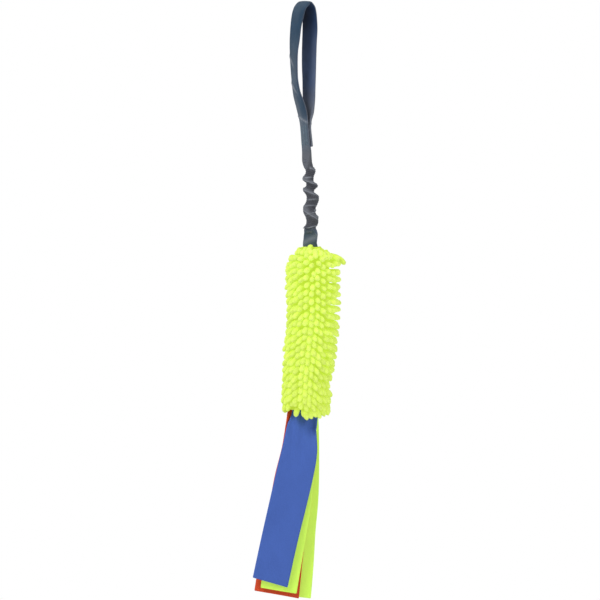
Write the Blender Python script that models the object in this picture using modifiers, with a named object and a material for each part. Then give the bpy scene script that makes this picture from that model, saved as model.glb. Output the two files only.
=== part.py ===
"""Bungee tug toy: webbing hand loop, gathered bungee, chenille mop body and four fleece tails.

The toy hangs from the inner top of its hand loop, which is the origin. Seen from the front,
+X points right, +Y away from the viewer and +Z up. Lengths are metres, angles are degrees.
A flat piece has a turn: 0 shows the viewer its edge, 90 shows its whole width.
"""
import math
import random

import bmesh
import bpy
from mathutils import Matrix, Vector

MM = 0.001

# Stock sizes
WEBBING_WIDTH = 20 * MM
WEBBING_THICKNESS = 2.6 * MM
FLEECE_THICKNESS = 2.6 * MM
SHOCK_CORD_DIAMETER = 6 * MM
CORD_JACKET_WALL = 0.65 * MM
THREAD_DIAMETER = 0.9 * MM
COVER_CLOTH = 2 * MM
STITCH_OFFSET = 1.3 * MM
WADDING_INSET = 1.9 * MM

# Clearances: between pieces that touch, and either side of a fold that a strap bends at
GAP = 0.3 * MM
FOLD_ROOM = 1.1 * MM

# Heights below the hang point, top to bottom
FOLD_STITCH_TOP = -153 * MM
FOLD_STITCH_BOTTOM = -174 * MM
HANDLE_FOLD = -185 * MM
UPPER_BARTACK = -196.5 * MM
CORD_TOP = -203.5 * MM
GATHER_END = -279 * MM
CORD_BOTTOM = -283.7 * MM
LOWER_BARTACK = -285.2 * MM
MOP_FOLD = -289 * MM
WADDING_TOP = -319 * MM
WADDING_BOTTOM = -488 * MM
TAIL_ROOT_TOP = -495.5 * MM
TAIL_FOLD = -511 * MM

# Where the shock cord stands, and the mop cover's grid of noodles
CORD_X = 7.6 * MM
NOODLE_COLUMNS = 16
NOODLE_BASE_INSET = 0.8 * MM
NOODLE_DOME = 1.5 * MM
NOODLE_WANDER = 4.0

# The webbing's middle line: up the front ply and limb, over the top, down the back limb to
# the cut end that lies behind the front ply. Millimetres, and the turn.
HANDLE_ROUTE = [
    (2.9, -0.3, -183.9, 30), (2.0, -0.9, -172, 28), (0.9, -1.2, -158, 27),
    (-0.6, -1.9, -146, 26), (-4.2, -3.6, -131, 26), (-9.6, -6.6, -108, 26),
    (-12.8, -8.3, -84, 25), (-13.2, -8.6, -60, 26), (-12.0, -8.0, -36, 27),
    (-8.6, -6.0, -12, 33), (0, 0, 1.3, 41), (6.4, 5.8, -12, 50),
    (7.4, 8.0, -34, 55), (7.2, 8.6, -58, 55), (6.8, 8.0, -84, 55),
    (5.9, 6.2, -108, 50), (5.1, 3.2, -130, 36), (2.3, -0.4, -146, 27),
    (3.8, 0.3, -158, 27), (4.9, 0.6, -172, 28), (5.5, 0.9, -178.8, 28),
]
FRONT_PLY_POINTS = 4

# The sleeve: height, middle, half width, half thickness, turn. Plain webbing first, then the
# gathers, which swing from side to side.
SLEEVE_SECTIONS = [
    (-186.1, 3.0, 10.0, 1.3, 31), (-195, 3.5, 9.6, 2.2, 33), (-202, 6.0, 8.8, 4.4, 36),
    (-207.5, 8.0, 7.6, 5.2, 38), (-213, 6.3, 8.0, 5.6, 40), (-218.5, 5.3, 8.4, 5.6, 42),
    (-226, 9.9, 8.0, 5.8, 44), (-232.5, 6.2, 8.4, 5.8, 46), (-240, 10.4, 8.4, 5.8, 48),
    (-250, 8.6, 8.8, 5.8, 49), (-259, 7.2, 9.0, 6.0, 50), (-265, 8.6, 9.0, 6.0, 50),
    (-271, 9.8, 8.2, 5.8, 51), (-279, 7.6, 8.8, 5.8, 52),
]
GATHER_TOP = -205 * MM
GATHER_PITCH = 5.6 * MM
GATHER_DEPTH = 0.055

# The plain lower end of the sleeve, from its cut top edge down to the strap
CUFF_SECTIONS = [
    (-279.3, 7.7, 8.7, 5.4, 52), (-282, 7.8, 8.9, 5.2, 52), (-285, 7.9, 9.4, 3.9, 52),
    (-287.9, 8.0, 10.0, 1.3, 52),
]

# The strap inside the mop: middle, height, turn
CORE_ROUTE = [
    (8.0, 0, -290.1, 52), (8.6, 0, -297, 60), (10.6, 0, -306, 74), (12.2, 0, -318, 88),
    (12.6, 0, -345, 90), (11.8, 0, -370, 90), (10.6, 0, -395, 90), (8.1, 0, -420, 90),
    (5.2, 0, -445, 90), (2.9, 0, -470, 90), (1.4, 0, -494.5, 90),
]

# The mop cover's cloth: height, half width, half depth, turn, squareness
COVER_NECK = [(-303, 14, 5.3, 72, 2.8), (-306.5, 14.4, 6.6, 76, 2.6), (-310, 15.8, 11.5, 84, 2.2)]
COVER_BARREL = (17.5, 16.5)
COVER_BARREL_SPAN = (-315, -494)
COVER_BARREL_ROWS = 17
COVER_HEM = [(-498.5, 18.4, 14.2, 90, 2.2), (-502.5, 20.2, 11.6, 90, 3), (-506.5, 21, 10.6, 90, 4)]

# Along the mop, by height: the middle line, and how the noodles stand
MOP_AXIS = [
    (-297, 8.6), (-306, 10.6), (-318, 12.4), (-345, 12.6), (-370, 11.8), (-395, 10.6),
    (-420, 8.1), (-445, 5.2), (-470, 2.9), (-490, 1.4), (-507, 0.4),
]
NOODLE_LENGTH = [(-306, 8), (-310, 9), (-314, 17), (-330, 18.2), (-380, 17.6), (-430, 16.4),
                 (-470, 14.6), (-490, 14), (-497, 14), (-500, 9.5)]
NOODLE_LEAN = [(-306, 32), (-310, 32), (-314, 32), (-322, 14), (-335, 2), (-400, -4),
               (-470, -10), (-482, -18), (-492, -34), (-497, -48), (-501, -66)]
NOODLE_TIP = [(-306, 2.5), (-310, 2.6), (-314, 3.8), (-325, 4.1), (-488, 4.0), (-497, 3.4),
              (-501, 2.8)]

# The tails, front to back: middle, depth, height and half width, cut straight at both ends
BLUE_TAIL = [
    (-0.5, -4.65, -511, 16.2), (-4.1, -5.6, -532.5, 17.8), (-7.2, -6.9, -557.5, 20.8),
    (-10.6, -8.2, -582.5, 22.4), (-19.1, -9.6, -620, 22.6), (-30.8, -9.4, -670, 22.6),
    (-42, -8.4, -721.8, 22.6),
]
LIME_TAIL_FRONT = [
    (0, -1.55, -511, 16.2), (-3, -1.8, -535, 18.5), (-6.5, -2.4, -560, 21),
    (-13.5, -3.6, -620, 22.8), (-20.5, -3.9, -665, 23), (-31.5, -3.2, -733, 23),
]
RED_TAIL = [
    (-1.6, 1.55, -511, 16.8), (-6, 1.9, -532.5, 19.5), (-6.8, 2.4, -557.5, 23.2),
    (-11.4, 2.9, -595, 26), (-20.5, 3.2, -640, 27.8), (-27.6, 3.4, -690, 28.2),
    (-34.1, 3.6, -736.6, 28.3),
]
LIME_TAIL_BACK = [
    (0.5, 4.65, -511, 16), (-1, 6, -545, 18.4), (-3.2, 7.8, -582.5, 21.4),
    (-5, 9.2, -620, 22.8), (-8.6, 10, -660, 23), (-11, 10.2, -700, 23),
    (-14.2, 10, -741.4, 23),
]
TAIL_ROOT_HALF_WIDTH = 16.2 * MM
TAIL_ROOT_HALF_DEPTH = 5.8 * MM


def clear_scene():
    for leftover in list(bpy.data.objects):
        bpy.data.objects.remove(leftover, do_unlink=True)


def linear(colour):
    """An 8-bit screen colour as the linear values that a shader takes."""
    return tuple(((c / 255 + 0.055) / 1.055) ** 2.4 for c in colour)


def finish(piece, colour, roughness):
    """Give a piece its material, smooth its round sides and put it in the toy's collection."""
    material = bpy.data.materials.new(piece.name + "_finish")
    material.use_nodes = True
    shader = material.node_tree.nodes["Principled BSDF"]
    shader.inputs["Base Color"].default_value = (*linear(colour), 1)
    shader.inputs["Roughness"].default_value = roughness
    shader.inputs["Metallic"].default_value = 0
    piece.data.materials.append(material)
    TOY.objects.link(piece)
    return piece


def spread(points, steps):
    """A smooth line through points of any number of values, with steps between neighbours."""
    line = []
    for i in range(len(points) - 1):
        before = points[max(i - 1, 0)]
        start, end = points[i], points[i + 1]
        after = points[min(i + 2, len(points) - 1)]
        for step in range(steps):
            t = step / steps
            line.append(tuple(
                0.5 * (2 * b + (c - a) * t + (2 * a - 5 * b + 4 * c - d) * t * t
                       + (3 * b - a - 3 * c + d) * t ** 3)
                for a, b, c, d in zip(before, start, end, after)))
    line.append(tuple(points[-1]))
    return line


def along(table, height):
    """Read a (height, value) table, listed from the top down, at one height."""
    for (z0, v0), (z1, v1) in zip(table, table[1:]):
        if height >= z1:
            return v0 + (v1 - v0) * min(max((z0 - height) / (z0 - z1), 0), 1)
    return table[-1][1]


def across_direction(turn):
    """The width direction of a flat piece that is turned about the vertical."""
    return Vector((-math.sin(math.radians(turn)), math.cos(math.radians(turn)), 0))


def face_direction(turn):
    """The direction, out of the front of a turned flat piece, that the viewer sees most of."""
    return Vector((-math.cos(math.radians(turn)), -math.sin(math.radians(turn)), 0))


def ribbon(name, middles, sideways, half_widths, thickness, start_direction):
    """A flat strip: an open grid laid along the middles, thickened evenly to both faces."""
    segments = len(middles) - 1
    bm = bmesh.new()
    bmesh.ops.create_grid(bm, x_segments=segments, y_segments=2, size=0.5)
    for vert in bm.verts:
        i = round((vert.co.x + 0.5) * segments)
        if i == 0:
            forward = start_direction
        else:
            forward = (middles[min(i + 1, segments)] - middles[i - 1]).normalized()
        side = (sideways[i] - sideways[i].dot(forward) * forward).normalized()
        vert.co = middles[i] + side * (2 * vert.co.y * half_widths[i])
    mesh = bpy.data.meshes.new(name)
    bm.to_mesh(mesh)
    bm.free()
    piece = bpy.data.objects.new(name, mesh)
    solidify = piece.modifiers.new("thickness", "SOLIDIFY")
    solidify.thickness = thickness
    solidify.offset = 0
    return piece


def ring(middle, half_width, half_depth, turn, squareness=2.0, count=16):
    """A level oval, from round (2) to nearly a rectangle (4 and up)."""
    wide, deep = across_direction(turn), face_direction(turn)
    points = []
    for k in range(count):
        angle = 2 * math.pi * k / count
        c, s = math.cos(angle), math.sin(angle)
        points.append(middle + wide * half_width * math.copysign(abs(c) ** (2 / squareness), c)
                      + deep * half_depth * math.copysign(abs(s) ** (2 / squareness), s))
    return points


def loft(rings, closed=False):
    """A mesh through rings of equal count: capped at both ends, or joined last to first."""
    bm = bmesh.new()
    rows = [[bm.verts.new(point) for point in points] for points in rings]
    if closed:
        rows.append(rows[0])
    count = len(rows[0])
    bands = []
    for upper, lower in zip(rows, rows[1:]):
        bands.append([bm.faces.new((upper[k], upper[(k + 1) % count],
                                    lower[(k + 1) % count], lower[k])) for k in range(count)])
    if not closed:
        bm.faces.new(rows[0])
        bm.faces.new(rows[-1])
    bmesh.ops.recalc_face_normals(bm, faces=bm.faces[:])
    return bm, bands


def body(name, bm):
    mesh = bpy.data.meshes.new(name)
    bm.to_mesh(mesh)
    bm.free()
    mesh.shade_smooth()
    mesh.set_sharp_from_angle(angle=math.radians(40))
    return bpy.data.objects.new(name, mesh)


def thread(name, points, cyclic=False):
    """A sewing thread: a thin round line through its turning points."""
    curve = bpy.data.curves.new(name, "CURVE")
    curve.dimensions = "3D"
    curve.bevel_depth = THREAD_DIAMETER / 2
    curve.bevel_resolution = 1
    curve.use_fill_caps = True
    line = curve.splines.new("POLY")
    line.points.add(len(points) - 1)
    for target, point in zip(line.points, points):
        target.co = (*point, 1)
    line.use_cyclic_u = cyclic
    return bpy.data.objects.new(name, curve)


def pivot(name, place, parent=None):
    """An empty on a joint's axis. What is hung from it keeps its own place."""
    empty = bpy.data.objects.new(name, None)
    empty.empty_display_size = 0.02
    empty.location = place
    if parent is not None:
        hang(empty, parent)
    TOY.objects.link(empty)
    bpy.context.view_layer.update()
    return empty


def hang(piece, empty):
    piece.parent = empty
    piece.matrix_parent_inverse = Matrix.Translation(-empty.matrix_world.translation)


def handle_loop():
    """One length of flattened tubular webbing, folded back and sewn to itself."""
    stations = spread(HANDLE_ROUTE, 3)
    middles = [Vector(s[:3]) * MM for s in stations]
    sideways = [across_direction(s[3]) for s in stations]
    half_widths = [WEBBING_WIDTH / 2] * len(stations)
    piece = ribbon("handle_loop", middles, sideways, half_widths, WEBBING_THICKNESS,
                   Vector((0, 0, 1)))
    return finish(piece, (62, 84, 100), 0.75)


def on_front_ply(height, across):
    """A point where a thread lies on the face of the handle's front ply."""
    ply = spread(HANDLE_ROUTE[:FRONT_PLY_POINTS], 4)
    x = along([(s[2] * MM, s[0] * MM) for s in reversed(ply)], height)
    y = along([(s[2] * MM, s[1] * MM) for s in reversed(ply)], height)
    turn = along([(s[2] * MM, s[3]) for s in reversed(ply)], height)
    lift = WEBBING_THICKNESS / 2 + GAP + THREAD_DIAMETER / 2
    return Vector((x, y, height)) + across_direction(turn) * across + face_direction(turn) * lift


def handle_fold_stitch():
    """Three rows of sewing that hold the folded end, run as one thread."""
    rows = [-6 * MM, 0, 6 * MM]
    heights = [FOLD_STITCH_BOTTOM + (FOLD_STITCH_TOP - FOLD_STITCH_BOTTOM) * k / 4 for k in range(5)]
    points = []
    for row in rows:
        points += [on_front_ply(height, row) for height in heights]
        heights.reverse()
    return finish(thread("handle_fold_stitch", points), (120, 150, 165), 0.6)


def sleeve_rings(sections, ruffled):
    rings = []
    for z, x, half_width, half_depth, turn in sections:
        height = z * MM
        fold = 1.0
        if ruffled and height < GATHER_TOP:
            fold += GATHER_DEPTH * math.cos(2 * math.pi * (height - GATHER_TOP) / GATHER_PITCH)
        rings.append(ring(Vector((x, 0, z)) * MM, half_width * fold * MM,
                          half_depth * fold * MM, turn))
    return rings


def cord_bore(heights, turn):
    """Rings of the straight hole that the shock cord lies in."""
    radius = SHOCK_CORD_DIAMETER / 2 + GAP
    return [ring(Vector((CORD_X, 0, z)), radius, radius, turn) for z in heights]


def bungee_sleeve():
    """The same webbing, gathered over the relaxed cord: bunched folds round a blind bore."""
    outside = sleeve_rings(spread(SLEEVE_SECTIONS, 3), ruffled=True)
    bore = cord_bore([GATHER_END, (GATHER_END + CORD_TOP) / 2, CORD_TOP + GAP], 52)
    bm, _ = loft(outside + bore)
    return finish(body("bungee_sleeve", bm), (70, 78, 88), 0.8)


def sleeve_lower_cuff():
    """The sleeve's plain lower end, round where the cord ends in it, flat where it is sewn."""
    outside = sleeve_rings(spread(CUFF_SECTIONS, 2), ruffled=False)
    bore = cord_bore([CORD_BOTTOM - GAP, GATHER_END - GAP], 52)
    bm, _ = loft(bore + outside)
    return finish(body("sleeve_lower_cuff", bm), (66, 80, 92), 0.8)


def bartack(name, sections, height, half_width):
    """A dense zigzag of thread across the face of the sleeve, at one height."""
    table = spread(sections, 3)
    x, half_depth, turn = (along([(s[0] * MM, s[i]) for s in table], height) for i in (1, 3, 4))
    lift = half_depth * MM + 2 * GAP + THREAD_DIAMETER / 2
    middle = Vector((x * MM, 0, height)) + face_direction(turn) * lift
    teeth = 8
    points = []
    for k in range(teeth + 1):
        side = across_direction(turn) * half_width * (2 * k / teeth - 1)
        points.append(middle + side + Vector((0, 0, 1.3 * MM * (-1) ** k)))
    return finish(thread(name, points), (48, 56, 66), 0.6)


def shock_cord_jacket():
    """The cord's braided jacket, a thin tube that is cut off square."""
    return cord_cylinder("shock_cord_jacket", SHOCK_CORD_DIAMETER / 2, CORD_JACKET_WALL,
                         (30, 32, 36))


def shock_cord_core():
    """The rubber strands inside the jacket."""
    radius = SHOCK_CORD_DIAMETER / 2 - CORD_JACKET_WALL - GAP
    return cord_cylinder("shock_cord_core", radius, None, (205, 196, 170))


def cord_cylinder(name, radius, wall, colour):
    bm = bmesh.new()
    bmesh.ops.create_cone(bm, cap_ends=wall is None, segments=12, radius1=radius, radius2=radius,
                          depth=CORD_TOP - CORD_BOTTOM)
    piece = body(name, bm)
    piece.location = (CORD_X, 0, (CORD_TOP + CORD_BOTTOM) / 2)
    if wall is not None:
        solidify = piece.modifiers.new("wall", "SOLIDIFY")
        solidify.thickness = wall
        solidify.offset = -1
        solidify.use_even_offset = True
    return finish(piece, colour, 0.7)


def core_strap():
    """The webbing that runs down through the mop and takes the pull of the tails."""
    stations = spread(CORE_ROUTE, 2)
    middles = [Vector(s[:3]) * MM for s in stations]
    sideways = [across_direction(s[3]) for s in stations]
    half_widths = [WEBBING_WIDTH / 2] * len(stations)
    piece = ribbon("core_strap", middles, sideways, half_widths, WEBBING_THICKNESS,
                   Vector((0, 0, -1)))
    return finish(piece, (62, 76, 90), 0.75)


def mop_middle(height):
    return Vector((along(MOP_AXIS, height / MM) * MM, 0, height))


def cover_rows():
    """Every level of the cover's cloth, from the neck round the strap to the hem."""
    top, bottom = COVER_BARREL_SPAN
    barrel = [(top + (bottom - top) * k / COVER_BARREL_ROWS, *COVER_BARREL, 90, 2.0)
              for k in range(COVER_BARREL_ROWS + 1)]
    return COVER_NECK + barrel + COVER_HEM


def noodle(face, wander):
    """Pull one small face of the cloth out into a noodle with a square, swollen tip."""
    base = face.calc_center_median()
    z = base.z / MM
    face.normal_update()
    outward = Vector((face.normal.x, face.normal.y, 0)).normalized()
    sideways = Vector((-outward.y, outward.x, 0))
    lean = math.radians(along(NOODLE_LEAN, z) + wander.uniform(-NOODLE_WANDER, NOODLE_WANDER))
    stray = math.radians(wander.uniform(-NOODLE_WANDER, NOODLE_WANDER))
    direction = outward * math.cos(lean) + Vector((0, 0, math.sin(lean))) + sideways * math.sin(stray)
    upright = Vector((0, 0, math.cos(lean))) - outward * math.sin(lean)
    tip = base + direction * (along(NOODLE_LENGTH, z) - NOODLE_DOME / MM) * MM
    half = along(NOODLE_TIP, z) * MM
    for vert in face.verts:
        offset = vert.co - base
        vert.co = (tip + sideways * math.copysign(half, offset.dot(sideways))
                   + upright * math.copysign(half, offset.z))


def chenille_cover():
    """A tube of mop cloth with a grid of fat chenille noodles knitted into its outer side."""
    wander = random.Random(7)
    outside, inside = [], []
    for z, half_width, half_depth, turn, squareness in cover_rows():
        middle = mop_middle(z * MM)
        wide, deep = half_width * MM, half_depth * MM
        outside.append(ring(middle, wide, deep, turn, squareness, NOODLE_COLUMNS))
        inside.append(ring(middle, wide - COVER_CLOTH, deep - COVER_CLOTH, turn, squareness,
                           NOODLE_COLUMNS))
    bm, bands = loft(outside + inside[::-1], closed=True)
    cloth = [face for band in bands[1:len(outside) - 2] for face in band]
    bmesh.ops.inset_individual(bm, faces=cloth, thickness=NOODLE_BASE_INSET)
    tips = bmesh.ops.extrude_discrete_faces(bm, faces=cloth)["faces"]
    for face in sorted(tips, key=lambda f: tuple(round(c, 5) for c in f.calc_center_median())):
        noodle(face, wander)
    bmesh.ops.poke(bm, faces=tips, offset=NOODLE_DOME)
    return finish(body("chenille_cover", bm), (214, 245, 78), 0.95)


def closure_stitch(name, upper, lower, offset):
    """The thread that draws one end of the cover shut, midway between two levels of cloth."""
    middle = mop_middle((upper[0] + lower[0]) / 2 * MM)
    above, below = (ring(middle, half_width * MM + offset, half_depth * MM + offset, turn,
                         squareness, NOODLE_COLUMNS)
                    for _, half_width, half_depth, turn, squareness in (upper, lower))
    points = [(a + b) / 2 for a, b in zip(above, below)]
    return finish(thread(name, points, cyclic=True), (196, 226, 70), 0.6)


def cover_seam_thread():
    """The sewing down the cover's back seam, on the inside of the cloth."""
    depth = COVER_BARREL[1] * MM - COVER_CLOTH - 1.0 * MM
    count = 19
    points = []
    for k in range(count):
        height = WADDING_TOP + (WADDING_BOTTOM - WADDING_TOP) * k / (count - 1)
        points.append(mop_middle(height) + Vector((1.2 * MM * (-1) ** k, depth, 0)))
    return finish(thread("cover_seam_thread", points), (196, 226, 70), 0.6)


def wadding(name, side):
    """Half of the filling: a long D-shaped pad that lies flat against the strap."""
    flat = WEBBING_THICKNESS / 2 + 2 * GAP
    half_width = COVER_BARREL[0] * MM - COVER_CLOTH - WADDING_INSET
    half_depth = COVER_BARREL[1] * MM - COVER_CLOTH - WADDING_INSET
    levels = 9
    rings = []
    for k in range(levels):
        height = WADDING_TOP + (WADDING_BOTTOM - WADDING_TOP) * k / (levels - 1)
        end_taper = 0.8 if k in (0, levels - 1) else 1.0
        oval = ring(Vector((0, 0, 0)), half_width * end_taper, half_depth * end_taper, 90)
        rings.append([mop_middle(height) + Vector((p.x, side * max(side * p.y, flat), 0))
                      for p in oval])
    bm, _ = loft(rings)
    return finish(body(name, bm), (236, 236, 230), 0.95)


def tail_roots():
    """The ends of the four strips, stacked, sewn to the strap and drawn into the cover."""
    rings = [ring(mop_middle(height), TAIL_ROOT_HALF_WIDTH * snug, TAIL_ROOT_HALF_DEPTH * snug,
                  90, 3)
             for height, snug in ((TAIL_ROOT_TOP, 0.78), (TAIL_ROOT_TOP - 2 * MM, 0.86),
                                  (TAIL_FOLD + 8 * MM, 1.0), (TAIL_FOLD + 2 * FOLD_ROOM, 0.97))]
    bm, _ = loft(rings)
    return finish(body("tail_roots", bm), (190, 205, 80), 0.95)


def tail_bartack():
    """The zigzag that sews the strips to the strap, across the front of the stack."""
    front = -(TAIL_ROOT_HALF_DEPTH + GAP + THREAD_DIAMETER / 2)
    teeth = 10
    points = [Vector((9 * MM * (2 * k / teeth - 1), front,
                      TAIL_ROOT_TOP - 5 * MM + 1.6 * MM * (-1) ** k)) for k in range(teeth + 1)]
    return finish(thread("tail_bartack", points), (60, 66, 74), 0.6)


def tail(name, route, colour):
    """A strip cut from polar fleece. It narrows where it is pleated into the cover."""
    stations = spread(route, 2)
    middles = [Vector(s[:3]) * MM for s in stations]
    sideways = [Vector((1, 0, 0))] * len(stations)
    half_widths = [s[3] * MM for s in stations]
    piece = ribbon(name, middles, sideways, half_widths, FLEECE_THICKNESS, Vector((0, 0, -1)))
    return finish(piece, colour, 0.95)


clear_scene()
TOY = bpy.data.collections.new("bungee_tug_toy")
bpy.context.scene.collection.children.link(TOY)

handle_loop()
handle_fold_stitch()

handle_pivot = pivot("handle_pivot", (HANDLE_ROUTE[0][0] * MM, 0, HANDLE_FOLD))
for part in (bungee_sleeve(), shock_cord_jacket(), shock_cord_core(),
             bartack("cord_upper_bartack", SLEEVE_SECTIONS, UPPER_BARTACK, 5 * MM)):
    hang(part, handle_pivot)

stretch_pivot = pivot("stretch_pivot", (CORD_X, 0, GATHER_END), handle_pivot)
for part in (sleeve_lower_cuff(),
             bartack("cord_lower_bartack", CUFF_SECTIONS, LOWER_BARTACK, 5 * MM)):
    hang(part, stretch_pivot)

mop_pivot = pivot("mop_pivot", (CORE_ROUTE[0][0] * MM, 0, MOP_FOLD), stretch_pivot)
for part in (core_strap(), chenille_cover(), cover_seam_thread(),
             closure_stitch("top_closure_stitch", *COVER_NECK[:2], STITCH_OFFSET),
             closure_stitch("bottom_closure_stitch", *COVER_HEM[1:], -COVER_CLOTH - STITCH_OFFSET),
             wadding("wadding_front", -1), wadding("wadding_back", 1),
             tail_roots(), tail_bartack()):
    hang(part, mop_pivot)

for tail_name, tail_route, tail_colour in (
        ("blue_tail", BLUE_TAIL, (72, 104, 182)),
        ("lime_tail_front", LIME_TAIL_FRONT, (196, 236, 88)),
        ("red_tail", RED_TAIL, (214, 78, 46)),
        ("lime_tail_back", LIME_TAIL_BACK, (196, 236, 88))):
    tail_pivot = pivot(tail_name + "_pivot", (0, tail_route[0][1] * MM, TAIL_FOLD), mop_pivot)
    hang(tail(tail_name, tail_route, tail_colour), tail_pivot)
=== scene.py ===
"""Bungee tug toy, dressed: it hangs from its hand loop in front of white.

Metres and degrees. +X points right, +Y away from the viewer and +Z up, from the inner top of the
loop. A flat piece has a turn: 0 shows the viewer its edge, 90 shows its whole width.
"""

import math
import random

import bpy
import numpy as np
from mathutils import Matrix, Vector, noise


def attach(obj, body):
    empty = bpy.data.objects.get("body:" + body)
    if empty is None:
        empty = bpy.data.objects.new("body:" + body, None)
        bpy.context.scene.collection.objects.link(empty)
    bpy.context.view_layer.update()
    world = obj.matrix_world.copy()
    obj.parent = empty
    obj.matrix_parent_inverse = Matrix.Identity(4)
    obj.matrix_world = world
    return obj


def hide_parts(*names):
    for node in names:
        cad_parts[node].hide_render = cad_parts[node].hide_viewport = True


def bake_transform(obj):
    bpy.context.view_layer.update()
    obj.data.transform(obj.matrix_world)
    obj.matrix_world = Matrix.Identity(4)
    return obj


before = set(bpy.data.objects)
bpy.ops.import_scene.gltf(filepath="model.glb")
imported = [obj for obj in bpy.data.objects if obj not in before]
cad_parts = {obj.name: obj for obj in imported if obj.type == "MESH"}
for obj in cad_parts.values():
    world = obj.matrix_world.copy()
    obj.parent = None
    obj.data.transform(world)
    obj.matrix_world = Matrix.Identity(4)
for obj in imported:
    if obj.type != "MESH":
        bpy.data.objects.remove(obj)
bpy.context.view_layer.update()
MM = 0.001


# Studio. The toy hangs in front of white, in soft light from the upper left. The camera is level
# with its middle and far enough off that the picture has almost no perspective.
PICTURE = 600
PIXEL = 1.25 * MM
HANG_POINT_PIXEL = (304, 4)
LENS, SENSOR = 100, 36
FLOOR_HEIGHT = -1.02
FLOOR_SIZE = 2.4
AMBIENT = 0.26
FLOOR_GLOW = 0.5
LAMPS = [("key", (-1.25, -1.35, 1.5), 1.1, 55), ("fill", (1.8, -1.5, -0.1), 1.6, 15),
         ("back", (0.5, 2.1, 0.4), 1.6, 18)]


def node(tree, kind, inputs=(), **settings):
    """Add a shader node. An input is given a number, a colour, or the socket that feeds it."""
    made = tree.nodes.new("ShaderNode" + kind)
    for setting, value in settings.items():
        setattr(made, setting, value)
    for socket, value in dict(inputs).items():
        if isinstance(value, bpy.types.NodeSocket):
            tree.links.new(value, made.inputs[socket])
        else:
            made.inputs[socket].default_value = value
    return made


def calc(tree, operation, *values):
    """Work out a number from others in a shader."""
    return node(tree, "Math", dict(enumerate(values)), operation=operation).outputs[0]


def seen_directly(tree):
    """1 where the eye, a reflection or a view through glass lands, and 0 for light that bounces."""
    path = node(tree, "LightPath").outputs
    mirrored = calc(tree, "MAXIMUM", path["Is Glossy Ray"], path["Is Transmission Ray"])
    return calc(tree, "MAXIMUM", path["Is Camera Ray"], mirrored)


picture_width = PICTURE * PIXEL
middle_height = (HANG_POINT_PIXEL[1] - PICTURE / 2) * PIXEL
middle_x = (PICTURE / 2 - HANG_POINT_PIXEL[0]) * PIXEL
bpy.ops.object.camera_add(location=(middle_x, -picture_width * LENS / SENSOR, middle_height),
                          rotation=(math.radians(90), 0, 0))
camera = bpy.context.object
camera.data.lens = LENS
camera.data.sensor_width = SENSOR
bpy.context.scene.camera = camera
bpy.context.scene.view_settings.view_transform = "Standard"

for lamp_name, place, size, power in LAMPS:
    bpy.ops.object.light_add(type="AREA", location=place)
    lamp = bpy.context.object
    lamp.name = lamp_name
    lamp.data.size = size
    lamp.data.energy = power
    towards = Vector((middle_x, 0, middle_height)) - Vector(place)
    lamp.rotation_euler = towards.to_track_quat("-Z", "Y").to_euler()

world = bpy.data.worlds.new("white_room")
world.use_nodes = True
bpy.context.scene.world = world
background = world.node_tree.nodes["Background"]
background.inputs["Color"].default_value = (1, 1, 1, 1)
direct = seen_directly(world.node_tree)
room_light = calc(world.node_tree, "MULTIPLY_ADD", direct, 1 - AMBIENT, AMBIENT)
world.node_tree.links.new(room_light, background.inputs["Strength"])

bpy.ops.object.select_all(action="DESELECT")
bpy.ops.mesh.primitive_plane_add(size=FLOOR_SIZE, location=(0, 0, FLOOR_HEIGHT))
floor = bpy.context.object
floor.name = "floor"
paper = bpy.data.materials.new("white_paper")
paper.use_nodes = True
paper_shader = paper.node_tree.nodes["Principled BSDF"]
paper_shader.inputs["Base Color"].default_value = (0.9, 0.9, 0.9, 1)
paper_shader.inputs["Roughness"].default_value = 0.9
paper_shader.inputs["Emission Color"].default_value = (1, 1, 1, 1)
glow = calc(paper.node_tree, "MULTIPLY", seen_directly(paper.node_tree), FLOOR_GLOW)
paper.node_tree.links.new(glow, paper_shader.inputs["Emission Strength"])
floor.data.materials.append(paper)


# Hand loop. One length of navy tubular webbing, woven round and pressed flat. It goes up the
# front, over the top and down the back, and its cut end is sewn behind the front ply.
WEBBING_HALF_WIDTH = 10 * MM
WEBBING_HALF_DEPTH = 1.3 * MM
WEBBING_RIBS = 34
WEBBING_PICK = 2.6 * MM
WEBBING_FACE = (66, 88, 106)
# Painted shade in the hollows of the weave
WEBBING_WEAVE_SHADE = (24, 32, 46)
WEBBING_WORN = (142, 147, 156)
# Painted shade: the darker colour the outer face takes where shade falls on it
FACE_PAINTED_SHADE = (8, 63, 93)
# The face laid inside has kept more of its blue
INNER_FACE = (50, 92, 150)
# Painted shade: the darker colour the inner face takes under the loop's crown
INNER_PAINTED_SHADE = (17, 27, 47)
# Handling has greyed the sleeve. Its second colour is painted shade in the hollows of its weave
SLEEVE_FACE = (71, 71, 79)
SLEEVE_WEAVE_SHADE = (28, 29, 34)
WEBBING_SHEEN = (170, 185, 205)
EDGE_WEAR = 0.22
# How worn the outer face is by height in millimetres, as every table of heights here
LOWER_WEAR = [(-80, 0), (-150, 0.26)]
# Two points closer than this become one
MERGE = 0.01 * MM
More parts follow.
